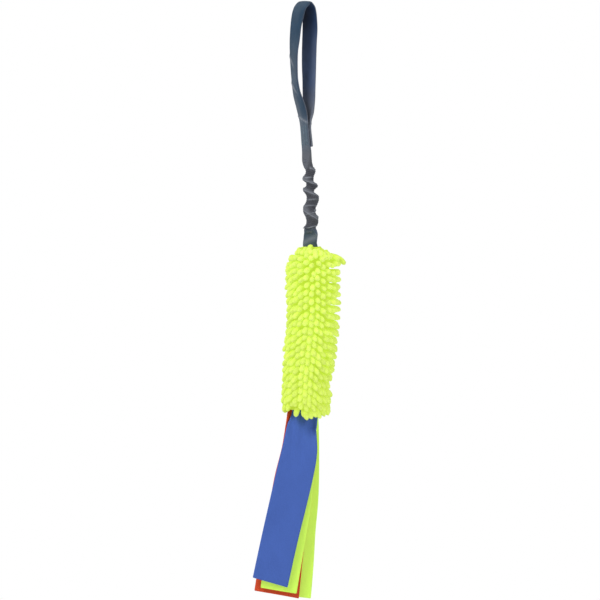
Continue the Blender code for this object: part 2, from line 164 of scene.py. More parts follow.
# Middle in millimetres, and the turn
HANDLE_ROUTE = [
    (2.4, -0.6, -176, 28.5), (2.0, -0.9, -172, 28), (0.9, -1.2, -158, 27),
    (-0.6, -1.9, -146, 26), (-4.2, -3.6, -131, 26), (-8.1, -5.7, -116, 25),
    (-10.1, -6.7, -106, 21.5), (-11.6, -7.6, -94, 19.5), (-12.4, -8.2, -78, 22.5),
    (-12.7, -8.6, -62, 26), (-11.8, -8.4, -46, 34), (-10.8, -7.7, -31, 36),
    (-9.3, -6.8, -20, 40.5), (-7.3, -5.5, -10, 43), (-4.0, -3.3, -2.4, 47), (1.2, 0.6, 2.7, 50),
    (5.2, 4.2, -1.9, 55), (6.8, 5.6, -9.5, 59), (7.4, 7.0, -20, 65), (7.5, 7.9, -32, 70),
    (6.9, 8.5, -46, 67), (6.5, 8.6, -60, 66), (6.3, 8.2, -76, 62), (6.4, 7.4, -92, 55.5),
    (6.3, 6.4, -105, 52), (6.3, 5.1, -117, 49), (6.0, 3.8, -127, 45.5), (5.2, 2.2, -137, 41.5),
    (3.6, 0.2, -146, 34.5), (3.5, 0.0, -153, 28.5), (3.8, 0.1, -158, 27.5), (5.0, 0.6, -172, 29),
    (5.7, 1.0, -178.8, 29),
]
HANDLE_STEPS = 7
FRONT_PLY_STATIONS = 30
# The cut end is pressed thinner at its last stations
END_THINNING = (0.97, 0.85, 0.6)
# Over the top of the loop the far edge lies a little higher, by degrees that fade out below
TOP_TILT, TOP_TILT_FADE = 7, 16
# and both edges curl down there, as webbing does where it bends
TOP_CURL, TOP_CURL_FADE = 1.1 * MM, 14
# Creases pressed into the front limb: height, slope across the width, sharpness, depth, and the
# place across the limb where they start
HANDLE_CREASES = [
    (-77, 1.45, 1.5, 0.9, -3), (-108, 1.05, 1.7, 0.7, -6), (-144, 0.5, 1.4, 0.6, -12),
]
CREASE_START = 4
CREASE_WEAR = 1.5
MOST_WEAR = 0.8
# The way the front limb's face looks, to the left and a little to the viewer, in degrees
FRONT_FACING = 26
# How worn the face laid inside is. Lower down it is also lightened, as painted light, where the
# front ply shades it
INNER_WEAR_AND_PAINTED_LIGHT = [(-20, 0), (-60, 0.15), (-100, 0.2), (-125, 0.4), (-150, 0.45)]
# and how much more so at its near edge, and where that comes in across it, from right to left
INNER_EDGE_WEAR = [(-25, 0), (-45, 0.1), (-95, 0.1), (-120, 0)]
INNER_EDGE = [(5, 1), (2, 0)]
# Lower down it has greyed too
INNER_DUST = [(-100, 0), (-118, 0.3), (-136, 0.7)]
# How much painted shade the outer and the inner face take by height, and how much less the inner
# one takes towards its right
OUTER_SHADE_BY_HEIGHT = [
    (-2, 0.3), (-10, 0.45), (-20, 0.65), (-31, 0.92), (-38, 0.85), (-50, 0.5), (-62, 0.25),
    (-80, 0),
]
INNER_SHADE_BY_HEIGHT = [(-12, 1), (-25, 0.9), (-35, 0.7), (-55, 0.35), (-75, 0.2)]
INNER_SHADE_EASE = [(5, 0.5), (-5, 0)]
# The front limb's near edge is cupped inward, in millimetres
NEAR_EDGE_CUP = [
    (-4, 1.2), (-12, 2.2), (-22, 1.8), (-34, 1.3), (-46, 0.7), (-75, 0), (-112, 0), (-128, 2.2),
    (-138, 2.0), (-150, 0.4), (-156, 0),
]
# and takes painted shade at the top and where the two limbs come together
NEAR_EDGE_PAINTED_SHADE = [
    (-4, 0.5), (-12, 1), (-32, 1), (-44, 0.7), (-60, 0.4), (-80, 0), (-92, 0), (-102, 0.6),
    (-116, 0.75), (-136, 0.75), (-150, 0.35), (-176, 0.2),
]
# The place across the limb where that begins, and how far it takes to come in
NEAR_EDGE_START = [(-50, -1), (-90, 3)]
NEAR_EDGE_BLEND = 5
# By how much the painted shade at the near edge spares the face and its creases from wear
FACE_SPARED, CREASE_SPARED = 1.1, 0.6


def linear(colour):
    """An 8-bit screen colour as the linear values that a shader takes."""
    return (*(((c / 255 + 0.055) / 1.055) ** 2.4 for c in colour), 1)


def smooth_line(points, steps):
    """Rows of numbers on a smooth line through given rows, with steps between neighbours."""
    points = np.array(points, float)
    padded = np.vstack([points[:1], points, points[-1:]])
    t = (np.arange(steps) / steps)[:, None]
    pieces = []
    for a, b, c, d in zip(padded, padded[1:], padded[2:], padded[3:]):
        pieces.append(0.5 * (2 * b + (c - a) * t + (2 * a - 5 * b + 4 * c - d) * t ** 2
                             + (3 * b - a - 3 * c + d) * t ** 3))
    return np.vstack(pieces + [points[-1:]])


def read(table, height, column=1):
    """Read a column of a table of heights, listed from the top down, at one height or several."""
    rows = np.array(table, float)[::-1]
    return np.interp(height, rows[:, 0], rows[:, column])


def unit(vectors):
    """The same ways, each one long."""
    return vectors / np.linalg.norm(vectors, axis=-1, keepdims=True)


def run_length(points):
    """How far along a line each of its points lies."""
    return np.concatenate([[0], np.cumsum(np.linalg.norm(np.diff(points, axis=0), axis=1))])


def flattened_round(share, half_width, half_depth):
    """A point at a share of the way round a pressed tube, from the middle of its back face."""
    flat = half_width - half_depth
    edge = math.pi * half_depth
    p = share * (4 * flat + 2 * edge)
    first = (p - flat) / half_depth - math.pi / 2
    second = (p - 3 * flat - edge) / half_depth + math.pi / 2
    part = [p < flat, p < flat + edge, p < 3 * flat + edge, p < 3 * flat + 2 * edge]
    across = np.select(part, [p, flat + half_depth * np.cos(first), 2 * flat + edge - p,
                              half_depth * np.cos(second) - flat], p - 4 * flat - 2 * edge)
    facing = np.select(part, [-half_depth + 0 * p, half_depth * np.sin(first),
                              half_depth + 0 * p, half_depth * np.sin(second)], -half_depth)
    return across, facing


def cloth_grid(name, columns, rows):
    """A flat grid of cloth, with the column and the row of each of its points."""
    bpy.ops.object.select_all(action="DESELECT")
    bpy.ops.mesh.primitive_grid_add(x_subdivisions=columns, y_subdivisions=rows - 1, size=1)
    cut = bpy.context.object
    cut.name = cut.data.name = name
    shares = np.array([v.co for v in cut.data.vertices])[:, :2] + 0.5
    column, row = np.rint(shares * (columns, rows - 1)).astype(int).T
    return cut, column, row


def mark(piece, label, values):
    """Store a number for each point of a piece, which its material reads."""
    layer = piece.data.attributes.new(label, "FLOAT", "POINT")
    layer.data.foreach_set("value", (values + np.zeros(len(layer.data))).astype(np.float32))


def lay_pattern(piece, across, along):
    """Give each point its place in the cloth as a UV map, so that a pattern follows the cloth."""
    corner = np.array([loop.vertex_index for loop in piece.data.loops])
    uv = np.stack([across[corner], along[corner]], axis=1)
    piece.data.uv_layers.active.data.foreach_set("uv", uv.ravel())


def apply_modifier(piece, name, kind, **settings):
    """Add a modifier to the active piece and apply it."""
    modifier = piece.modifiers.new(name, kind)
    for setting, value in settings.items():
        setattr(modifier, setting, value)
    bpy.ops.object.modifier_apply(modifier=name)


def finish_mesh(angle, merge=False, fill=False):
    """Close the active mesh, face it outwards and shade it smooth up to an angle in degrees."""
    bpy.ops.object.mode_set(mode="EDIT")
    bpy.ops.mesh.select_all(action="SELECT")
    if merge:
        bpy.ops.mesh.remove_doubles(threshold=MERGE)
    if fill:
        bpy.ops.mesh.fill_holes(sides=0)
        bpy.ops.mesh.select_all(action="SELECT")
    bpy.ops.mesh.normals_make_consistent(inside=False)
    bpy.ops.object.mode_set(mode="OBJECT")
    bpy.ops.object.shade_smooth_by_angle(angle=math.radians(angle))


def lay_tube(name, stations, around=64, ruffle=None, cloth_per_length=1.0, ends="closed",
             level=False):
    """A tube of cloth along stations of x, y, z, half width, half depth, turn and maybe tilt.

    A grid is wrapped round the stations, its long edges are sewn together and its ends are
    filled. Its UV map runs round the tube from 0 to 1, and along it in metres of cloth. If level
    is set, every ring lies level even where the tube leans. A ruffle is a function that is given
    the points, the middles of their rings and their shares of the way round. It says how far
    each point is pushed, and what is marked on it for the material.
    """
    tube, column, row = cloth_grid(name, around, len(stations))
    middles = stations[:, :3]
    turn = np.radians(stations[:, 5])
    forward = unit(np.gradient(middles, axis=0))
    if level:
        forward[:] = (0, 0, 1)
    rise = np.tan(np.radians(stations[:, 6])) if stations.shape[1] > 6 else 0 * turn
    width_way = np.stack([-np.sin(turn), np.cos(turn), rise], axis=1)
    width_way = unit(width_way - (width_way * forward).sum(1, keepdims=True) * forward)
    depth_way = np.cross(forward, width_way)
    across, facing = flattened_round(column / around, stations[row, 3], stations[row, 4])
    places = middles[row] + width_way[row] * across[:, None] + depth_way[row] * facing[:, None]
    if ruffle is not None:
        push, marks = ruffle(places, middles[row], column / around)
        places = places + push
        for label, values in marks.items():
            mark(tube, label, values)
    tube.data.vertices.foreach_set("co", places.ravel())
    lay_pattern(tube, column / around, run_length(middles)[row] * cloth_per_length)
    finish_mesh(75, merge=True, fill=ends == "closed")
    return tube


def new_group(name, inputs, outputs):
    """A shader node group with plain number sockets."""
    group = bpy.data.node_groups.new(name, "ShaderNodeTree")
    for label, value in inputs.items():
        socket = group.interface.new_socket(name=label, in_out="INPUT",
                                            socket_type="NodeSocketFloat")
        socket.default_value = value
    for label in outputs:
        group.interface.new_socket(name=label, in_out="OUTPUT", socket_type="NodeSocketFloat")
    return group, group.nodes.new("NodeGroupInput"), group.nodes.new("NodeGroupOutput")


def ridges(tree, count):
    """Round ridges side by side, one for each whole number that the count runs through."""
    return calc(tree, "ABSOLUTE", calc(tree, "SINE", calc(tree, "MULTIPLY", count, math.pi)))


def round_weave():
    """Ribs that run along the webbing, each a chain of floats, set off half a float from the next.

    Edge is 1 on the two folded edges of the pressed tube. Inner is 1 on the face that was laid
    inside, away from the sun and the hands.
    """
    sizes = {"Around": 0, "Along": 0, "Ribs": WEBBING_RIBS, "Pick": WEBBING_PICK}
    group, given, out = new_group("round_weave", sizes, ["Height", "Edge", "Inner"])
    from_outside = calc(group, "ABSOLUTE", calc(group, "SUBTRACT", given.outputs["Around"], 0.5))
    from_edge = calc(group, "ABSOLUTE", calc(group, "SUBTRACT", from_outside, 0.25))
    for label, value, low, high in (("Edge", from_edge, 0.045, 0.0),
                                    ("Inner", from_outside, 0.2, 0.3)):
        ramp = node(group, "MapRange", {"Value": value, "From Min": low, "From Max": high},
                    interpolation_type="SMOOTHSTEP")
        group.links.new(ramp.outputs[0], out.inputs[label])
    ribs = calc(group, "MULTIPLY", given.outputs["Around"], given.outputs["Ribs"])
    odd = calc(group, "MODULO", calc(group, "FLOOR", ribs), 2.0)
    pick = calc(group, "DIVIDE", given.outputs["Along"], given.outputs["Pick"])
    lift = calc(group, "MULTIPLY_ADD", ridges(group, calc(group, "MULTIPLY_ADD", odd, 0.5, pick)),
                0.5, 0.5)
    group.links.new(calc(group, "MULTIPLY", ridges(group, ribs), lift), out.inputs["Height"])
    return group


def fibre_fuzz():
    """Stray fibres and uneven dye: a fine height, and a slow tone about 1."""
    group, given, out = new_group("fibre_fuzz", {"Fine": 1400, "Slow": 40, "Unevenness": 0.15},
                                  ["Height", "Tone"])
    place = node(group, "TexCoord").outputs["Object"]
    fine = node(group, "TexNoise", {"Vector": place, "Scale": given.outputs["Fine"], "Detail": 3.0,
                                    "Roughness": 0.65}).outputs[0]
    slow = node(group, "TexNoise", {"Vector": place, "Scale": given.outputs["Slow"],
                                    "Detail": 2.0}).outputs[0]
    group.links.new(fine, out.inputs["Height"])
    swing = calc(group, "MULTIPLY", calc(group, "SUBTRACT", slow, 0.5), given.outputs["Unevenness"])
    group.links.new(calc(group, "MULTIPLY_ADD", swing, 2.0, 1.0), out.inputs["Tone"])
    return group


def cloth_material(name, roughness, sheen, sheen_colour):
    """A fibrous surface with its shader's fixed values set. The caller adds colour and bump."""
    made = bpy.data.materials.new(name)
    made.use_nodes = True
    shader = made.node_tree.nodes["Principled BSDF"]
    shader.inputs["Roughness"].default_value = roughness
    shader.inputs["Specular IOR Level"].default_value = 0.25
    shader.inputs["Sheen Weight"].default_value = sheen
    shader.inputs["Sheen Roughness"].default_value = 0.5
    shader.inputs["Sheen Tint"].default_value = linear(sheen_colour)
    return made, made.node_tree, shader


def dress(tree, shader, colour, relief, strength, depth):
    """Join a colour and a relief to a shader."""
    tree.links.new(colour, shader.inputs["Base Color"])
    bump = node(tree, "Bump", {"Strength": strength, "Distance": depth, "Height": relief})
    tree.links.new(bump.outputs[0], shader.inputs["Normal"])


def own_uv(tree):
    """The two numbers of a piece's UV map: round or across it, and along it."""
    return node(tree, "SeparateXYZ", {0: node(tree, "UVMap").outputs[0]}).outputs


def attribute(tree, label):
    """A number that was stored for each point of a piece."""
    return node(tree, "Attribute", attribute_name=label).outputs["Fac"]


def mix_colour(tree, factor, low, high, blend_type="MIX"):
    """The first colour, or the second one where the factor is 1. Both are linear."""
    return node(tree, "Mix", {0: factor, 6: low, 7: high}, data_type="RGBA",
                blend_type=blend_type).outputs[2]


def shade_by(tree, colour, tone):
    """Darken or lighten a colour by a number about 1."""
    grey = node(tree, "CombineColor", {0: tone, 1: tone, 2: tone}).outputs[0]
    return mix_colour(tree, 1.0, colour, grey, "MULTIPLY")


WEAVE = round_weave()
FUZZ = fibre_fuzz()


def webbing_material(name):
    """Woven webbing. Attributes say how worn and how dusty it is at each point, how much painted
    shade it takes, and where its wear also carries painted light.
    """
    made, tree, shader = cloth_material(name, 0.72, 0.25, WEBBING_SHEEN)
    uv = own_uv(tree)
    weave = node(tree, "Group", {"Around": uv[0], "Along": uv[1]}, node_tree=WEAVE).outputs
    fuzz = node(tree, "Group", {"Fine": 1800, "Slow": 55, "Unevenness": 0.35},
                node_tree=FUZZ).outputs
    wear_and_painted_light, painted_shade, dusty = (attribute(tree, label) for label in ("wear_and_painted_light", "painted_shade", "dusty"))
    # Painted shade: each face darkens towards its shade colour as the attribute says
    outer = mix_colour(tree, painted_shade, linear(WEBBING_FACE), linear(FACE_PAINTED_SHADE))
    inner = mix_colour(tree, painted_shade, linear(INNER_FACE), linear(INNER_PAINTED_SHADE))
    face = mix_colour(tree, weave["Inner"], outer, inner)
    face = mix_colour(tree, dusty, face, linear(SLEEVE_FACE))
    # Painted shade in the hollows of the weave, on the loop and on the sleeve
    weave_shade = mix_colour(tree, dusty, linear(WEBBING_WEAVE_SHADE), linear(SLEEVE_WEAVE_SHADE))
    colour = shade_by(tree, mix_colour(tree, weave["Height"], weave_shade, face), fuzz["Tone"])
    rubbed = calc(tree, "MULTIPLY", weave["Edge"],
                  calc(tree, "MULTIPLY", weave["Height"], EDGE_WEAR))
    colour = mix_colour(tree, calc(tree, "MAXIMUM", wear_and_painted_light, rubbed), colour, linear(WEBBING_WORN))
    relief = calc(tree, "MULTIPLY_ADD", fuzz["Height"], 0.25, weave["Height"])
    dress(tree, shader, colour, relief, 0.7, 0.3 * MM)
    return made


def wear(piece, material):
    """Give a piece its only material."""
    piece.data.materials.clear()
    piece.data.materials.append(material)


webbing = webbing_material("navy_webbing")

handle_line = smooth_line(HANDLE_ROUTE, HANDLE_STEPS)
handle_tilt = TOP_TILT * np.clip(1 + handle_line[:, 2] / TOP_TILT_FADE, 0, 1)
handle_stations = np.column_stack([handle_line[:, :3] * MM,
                                   np.full(len(handle_line), WEBBING_HALF_WIDTH),
                                   np.full(len(handle_line), WEBBING_HALF_DEPTH),
                                   handle_line[:, 3], handle_tilt])
handle_stations[-len(END_THINNING):, 4] *= END_THINNING


def press_creases(places, middles, share):
    """Shape the loop's webbing: ridges of old folds, a cupped near edge and a curl over the top.
    Mark its wear, painted shade, painted light and dust.
    """
    x, y, _ = (places - middles).T / MM
    heights = middles[:, 2] / MM
    outer = np.abs(share - 0.5) < 0.25
    front = middles[:, 1] < 0
    ridge_depth = 0
    for height, slope, sharpness, depth, start in HANDLE_CREASES:
        away = (heights - height - slope * y) / sharpness
        ridge = np.exp(-away ** 2) * np.clip((y - start) / CREASE_START, 0, 1)
        ridge_depth = ridge_depth + ridge * depth * (outer & front)
    reach = ((places - middles) ** 2).sum(1) / WEBBING_HALF_WIDTH ** 2
    lift = ridge_depth - read(NEAR_EDGE_CUP, heights) * reach * (front & (y < 0))
    facing = math.radians(FRONT_FACING)
    push = np.outer(lift * MM, (-math.cos(facing), -math.sin(facing), 0))
    push[:, 2] -= TOP_CURL * np.clip(1 + heights / TOP_CURL_FADE, 0, 1) * reach

    # Painted shade: how far the near edge, the outer face and the inner face darken, with the shade
    # sparing the near edge from wear
    near_edge = np.clip((read(NEAR_EDGE_START, heights) - y) / NEAR_EDGE_BLEND, 0, 1)
    near_shade = read(NEAR_EDGE_PAINTED_SHADE, heights) * near_edge
    outer_shade = np.maximum(read(OUTER_SHADE_BY_HEIGHT, heights), near_shade)
    inner_shade = np.clip(read(INNER_SHADE_BY_HEIGHT, heights) - read(INNER_SHADE_EASE, x), 0, 1)
    face_wear = read(LOWER_WEAR, places[:, 2] / MM) * np.clip(1 - FACE_SPARED * near_shade, 0, 1)
    crease_wear = CREASE_WEAR * ridge_depth * (1 - CREASE_SPARED * near_shade)
    outer_wear = np.clip(face_wear + crease_wear, 0, MOST_WEAR)
    inner_wear_and_light = read(INNER_WEAR_AND_PAINTED_LIGHT, heights) + read(INNER_EDGE_WEAR, heights) * read(INNER_EDGE, x)
    return push, {"wear_and_painted_light": np.where(outer & front, outer_wear, inner_wear_and_light),
                  "painted_shade": np.where(outer, outer_shade, inner_shade),
                  "dusty": np.where(outer, 0, read(INNER_DUST, heights))}


handle = lay_tube("handle_webbing", handle_stations, ruffle=press_creases)
wear(handle, webbing)
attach(handle, "handle")
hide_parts("handle_loop")


# Handle stitching. Three rows of lock stitch go through both plies below the loop and hold the
# folded end. Each stitch is a short float of thread that dips into the webbing at both ends.
STITCH_ROWS = (-6 * MM, 0, 6 * MM)
STITCH_SPAN = (-153 * MM, -174 * MM)
STITCH_PITCH = 3.5 * MM
STITCH_LENGTH = 3.0 * MM
# Share of a stitch's length, and how high it lies over the webbing there in millimetres
STITCH_SHAPE = [(0, -0.25), (0.2, 0.18), (0.5, 0.26), (0.8, 0.18), (1, -0.25)]
THREAD_RADIUS = 0.4 * MM
# Its strands come round once in this length, and slant across it
THREAD_TWIST = 0.7 * MM
THREAD_SLANT = (1.3, 0.7)
THREAD_COLOUR = (112, 138, 150)
# Painted shade: the grooves between its strands keep this share of its colour
GROOVE_PAINTED_SHADE = 0.72


def sew(name, runs, radius):
    """Lay thread along runs of points, as round cord with closed ends."""
    curve = bpy.data.curves.new(name, "CURVE")
    curve.dimensions = "3D"
    curve.bevel_depth = radius
    curve.bevel_resolution = 2
    curve.use_fill_caps = True
    for run in runs:
        line = curve.splines.new("POLY")
        line.points.add(len(run) - 1)
        for target, point in zip(line.points, run):
            target.co = (*point, 1)
    bpy.ops.object.select_all(action="DESELECT")
    laid = bpy.data.objects.new(name, curve)
    bpy.context.scene.collection.objects.link(laid)
    laid.select_set(True)
    bpy.context.view_layer.objects.active = laid
    bpy.ops.object.convert(target="MESH")
    finish_mesh(60, merge=True)
    return bpy.context.object


def thread_material(name, colour):
    """Twisted thread: slanting lines of painted shade where its strands meet."""
    made, tree, shader = cloth_material(name, 0.5, 0.1, (255, 255, 255))
    place = node(tree, "SeparateXYZ", {0: node(tree, "TexCoord").outputs["Object"]}).outputs
    slant = place[2]
    for axis, share in enumerate(THREAD_SLANT):
        slant = calc(tree, "MULTIPLY_ADD", place[axis], share, slant)
    strand = ridges(tree, calc(tree, "DIVIDE", slant, THREAD_TWIST))
    groove_shade = linear([int(c * GROOVE_PAINTED_SHADE) for c in colour])
    dress(tree, shader, mix_colour(tree, strand, groove_shade, linear(colour)), strand, 0.5, 0.12 * MM)
    return made


def on_face(stations, height, across, lift):
    """A point over the outer face of pressed webbing, whose stations rise from first to last."""
    x, y, depth, turn = (np.interp(height, stations[:, 2], stations[:, i]) for i in (0, 1, 4, 5))
    turn = math.radians(turn)
    width_way = np.array([-math.sin(turn), math.cos(turn), 0])
    face = np.array([-math.cos(turn), -math.sin(turn), 0])
    return np.array([x, y, height]) + width_way * across + face * (depth + lift)


front_ply = handle_stations[:FRONT_PLY_STATIONS]
stitch_runs = [[on_face(front_ply, start - share * STITCH_LENGTH, across, lift * MM)
                for share, lift in STITCH_SHAPE]
               for across in STITCH_ROWS
               for start in np.arange(*STITCH_SPAN, -STITCH_PITCH)]
thread_finish = thread_material("pale_thread", THREAD_COLOUR)
handle_stitches = sew("handle_stitches", stitch_runs, THREAD_RADIUS)
wear(handle_stitches, thread_finish)
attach(handle_stitches, "handle")
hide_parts("handle_fold_stitch")


# Bungee sleeve. The same webbing goes on down as a sleeve: plain at the neck, then gathered
# over the relaxed shock cord in folds that swing from side to side. It opens out as it stretches.
GATHER_RATIO = 1.9
# Height, middle, half width, half depth and turn, in millimetres and degrees
NECK_SECTIONS = [
    (-173, 2.1, -0.8, 9.6, 1.1, 28), (-176.2, 2.4, -0.6, 9.9, 1.25, 28.5),
    (-181, 3.0, -0.3, 10, 1.3, 30),
    (-186.1, 3.4, 0, 10, 1.35, 31.5), (-191, 3.5, 0, 9.9, 1.7, 32), (-196, 3.8, 0, 9.2, 2.4, 33),
    (-200, 4.6, 0, 7.8, 3.4, 34), (-203, 5.7, 0, 6.6, 4.5, 36), (-206, 6.9, 0, 5.2, 4.5, 38),
    (-209, 7.3, 0, 4.3, 4.0, 40),
]
GATHER_SECTIONS = [
    (-203, 5.9, 0, 5.0, 3.9, 38), (-207, 7.2, 0, 5.5, 4.8, 40), (-212, 7.3, 0, 5.1, 4.7, 42),
    (-222, 7.3, 0, 4.7, 4.5, 45), (-235, 7.9, 0, 4.8, 4.6, 45), (-255, 8.3, 0, 5.2, 4.8, 45),
    (-270, 8.6, 0, 5.6, 5.0, 48), (-277, 8.2, 0, 6.2, 5.2, 50), (-281, 7.8, 0, 7.0, 5.6, 52),
]
# The main fold winds down round the cord. Bearing: 0 is right, 90 back, 180 left, 270 front.
# Then its height, its reach, and how tall it is above and below its crest, in millimetres.
WINDING_FOLD = [
    (-90, -205.5, 0.6, 3, 4), (0, -208.6, 2.0, 4, 5), (90, -214, 2.0, 4, 4),
    (180, -219.0, 4.6, 5.4, 3.0), (270, -223.3, 2.2, 3.2, 2.6), (360, -226.8, 5.2, 3.0, 4.2),
    (450, -229.3, 2.6, 2.8, 3), (540, -231.3, 4.6, 2.6, 5.8), (630, -236.3, 2.4, 2.8, 4),
    (720, -241.0, 5.9, 3.4, 12), (810, -250, 2.6, 5, 6), (900, -256.6, 4.5, 7.4, 9),
    (990, -264.6, 1.8, 4, 4), (1080, -271.0, 4.0, 8.5, 7), (1170, -276.5, 2.0, 3, 3),
    (1260, -281.5, 2.6, 4, 2),
]
# Small creases across it: bearing, half length in degrees, height there, rise in a quarter turn,
# reach and height
CREASES = [
    (0, 50, -257.9, 0.6, 1.5, 1.5), (5, 60, -265.6, 0.5, 1.3, 2.0),
    (268, 120, -252.2, 0.3, 0.6, 0.8), (282, 80, -261.8, 2.6, 0.7, 0.8),
    (275, 125, -279.3, 2.7, 1.0, 0.9), (250, 70, -217.2, 0.8, 0.5, 1.3),
    (285, 75, -244.6, 0.8, 0.4, 1.1), (150, 70, -268.4, 1.0, 0.6, 1.0),
    (90, 80, -222.5, 2.0, 0.7, 1.0), (80, 80, -239.5, -2.0, 0.7, 1.0),
    (100, 80, -262.0, 2.0, 0.7, 1.0),
]
FOLD_ROUNDNESS = 2.8
# The turns of the cord among which the fold's bearings lie
WINDINGS = range(-1, 4)
# Crinkles run round the cloth, and wander up and down between the threads
CRINKLE_PITCH, CRINKLE_DEPTH = 2.3, 0.22
CRINKLE_WANDER, WANDER_TURNS, WANDER_FALL = 1.3, 3, 7
# How pale the cloth is: worn in the valleys, painted light over a whole fold, and wear with a
# painted highlight along its crest and on a crease
VALLEY_WEAR, FOLD_PAINTED_LIGHT, CREST_WEAR_AND_HIGHLIGHT, SMALL_CREASE_WEAR_AND_HIGHLIGHT = 0.08, 0.32, 0.95, 0.8
CREST_HALF_HEIGHT = 0.7
# The pale line of wear and painted highlight along a small crease is narrower than the crease by
# this
RUB_NARROWNESS = 1.2
# Painted shade: the underside of a fold keeps this share of its painted light
UNDERSIDE_LIT_SHARE = 0.3
# How dusty the cloth is by height
DUST = [(-176, 0), (-188, 1), (-279, 1), (-285, 0)]


def stations_from(sections, steps):
    """Stations from given sections, listed from the top down, laid from the bottom up."""
    line = smooth_line([(x, y, z, w, d, t) for z, x, y, w, d, t in sections], steps)[::-1].copy()
    line[:, :5] *= MM
    return line


def ruffle_folds(places, middles, share):
    """Push the cloth out into its folds. Paint them paler on top and darker in the valleys and
    undersides, with wear and a painted highlight along their crests.
    """
    offset = places - middles
    out = unit(offset[:, :2])
    bearing = np.degrees(np.arctan2(out[:, 1], out[:, 0])) % 360
    heights = places[:, 2] / MM
    reach = np.zeros(len(places))
    paleness = np.full(len(places), VALLEY_WEAR)
    fold = np.array(WINDING_FOLD, float)
    for winding in WINDINGS:
        turned = bearing + 360 * winding
        crest, size, above, below = (np.interp(turned, fold[:, 0], fold[:, i], left=0, right=0)
                                     for i in (1, 2, 3, 4))
        on_fold = crest < 0
        away = heights - crest
        slope = np.abs(away) / np.where(away > 0, above, below).clip(1)
        lobe = on_fold * np.exp(-slope ** FOLD_ROUNDNESS)
        reach = np.maximum(reach, size * lobe)
        crest_line = on_fold * CREST_WEAR_AND_HIGHLIGHT * np.exp(-(away / CREST_HALF_HEIGHT) ** 2)
        top_lit_share = np.clip(away + 1, UNDERSIDE_LIT_SHARE, 1)
        paleness = np.maximum.reduce([paleness, VALLEY_WEAR + FOLD_PAINTED_LIGHT * lobe * top_lit_share, crest_line])
    for at, half_span, height, rise, size, tall in CREASES:
        turned = (bearing - at + 180) % 360 - 180
        within = np.clip(1 - (turned / half_span) ** 2, 0, 1)
        away = (heights - height - rise * turned / 90) / tall
        reach += size * within * np.exp(-away ** 2)
        crease_line = within ** 0.5 * np.exp(-(away * RUB_NARROWNESS) ** 2)
        paleness = np.maximum(paleness, SMALL_CREASE_WEAR_AND_HIGHLIGHT * crease_line)
    wander = CRINKLE_WANDER * np.sin(WANDER_TURNS * np.radians(bearing) + heights / WANDER_FALL)
    reach += CRINKLE_DEPTH * np.sin(2 * math.pi * heights / CRINKLE_PITCH + wander)
    push = np.column_stack([out * reach[:, None] * MM, np.zeros(len(places))])
    return push, {"wear_and_painted_light": paleness, "dusty": read(DUST, heights)}


def neck_wear(places, middles, share):
    """The neck keeps its shape. It is worn, and turns dusty towards the gathers."""
    heights = places[:, 2] / MM
    return 0 * places, {"wear_and_painted_light": read(LOWER_WEAR, heights), "dusty": read(DUST, heights)}


neck = lay_tube("sleeve_neck", stations_from(NECK_SECTIONS, 5), ruffle=neck_wear)
wear(neck, webbing)
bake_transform(neck)

gathers = lay_tube("sleeve_gathers", stations_from(GATHER_SECTIONS, 22), around=72,
                   ruffle=ruffle_folds, cloth_per_length=GATHER_RATIO)
wear(gathers, webbing)
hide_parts("bungee_sleeve")
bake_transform(gathers)


# Shock cord. A 6 mm cord of rubber strands in a braided jacket runs through the gathers and
# gives the toy its bounce. It is sewn in at both ends and doesn't show.
CORD_SPAN = (-203.5, -283.7)
CORD_X = 7.6
CORD_RADIUS = 3.0
CORD_SIDES = 24
CORD_STATIONS = 41
CORD_TURN = 45
JACKET_WALL = 0.65
# Room between the jacket and the rubber
CORD_PLAY = 0.3
BRAID_STRANDS = 12
BRAID_PITCH = 7 * MM
# Painted shade between the braid's strands, then the colour of their tops
BRAID_GROOVE_SHADE, BRAID_LIGHT = (12, 13, 15), (44, 46, 52)
RUBBER_STRANDS = 16
# Painted shade between the rubber strands, then the rubber's colour
RUBBER_GROOVE_SHADE, RUBBER_LIGHT = (150, 138, 108), (212, 203, 178)


def cord_stations(radius):
    """Stations of the cord, laid from the bottom up like those of the sleeve round it."""
    rows = [(CORD_X * MM, 0, height * MM, radius * MM, radius * MM, CORD_TURN)
            for height in np.linspace(*CORD_SPAN[::-1], CORD_STATIONS)]
    return np.array(rows)


def braid_material():
    """Strands that cross each other slantwise round the cord, with painted shade between them."""
    made, tree, shader = cloth_material("black_braid", 0.6, 0.2, (120, 120, 130))
    uv = own_uv(tree)
    round_way = calc(tree, "MULTIPLY", uv[0], float(BRAID_STRANDS))
    long_way = calc(tree, "DIVIDE", uv[1], BRAID_PITCH / BRAID_STRANDS * 2)
    strand = calc(tree, "MAXIMUM", *(ridges(tree, calc(tree, sign, round_way, long_way))
                                     for sign in ("ADD", "SUBTRACT")))
    colour = mix_colour(tree, strand, linear(BRAID_GROOVE_SHADE), linear(BRAID_LIGHT))
    dress(tree, shader, colour, strand, 0.8, 0.3 * MM)
    return made


def rubber_material():
    """Square rubber strands that run side by side along the cord, with painted shade between them.
    """
    made, tree, shader = cloth_material("tan_rubber", 0.55, 0.0, (255, 255, 255))
    strand = ridges(tree, calc(tree, "MULTIPLY", own_uv(tree)[0], float(RUBBER_STRANDS)))
    colour = mix_colour(tree, strand, linear(RUBBER_GROOVE_SHADE), linear(RUBBER_LIGHT))
    dress(tree, shader, colour, strand, 0.8, 0.3 * MM)
    return made


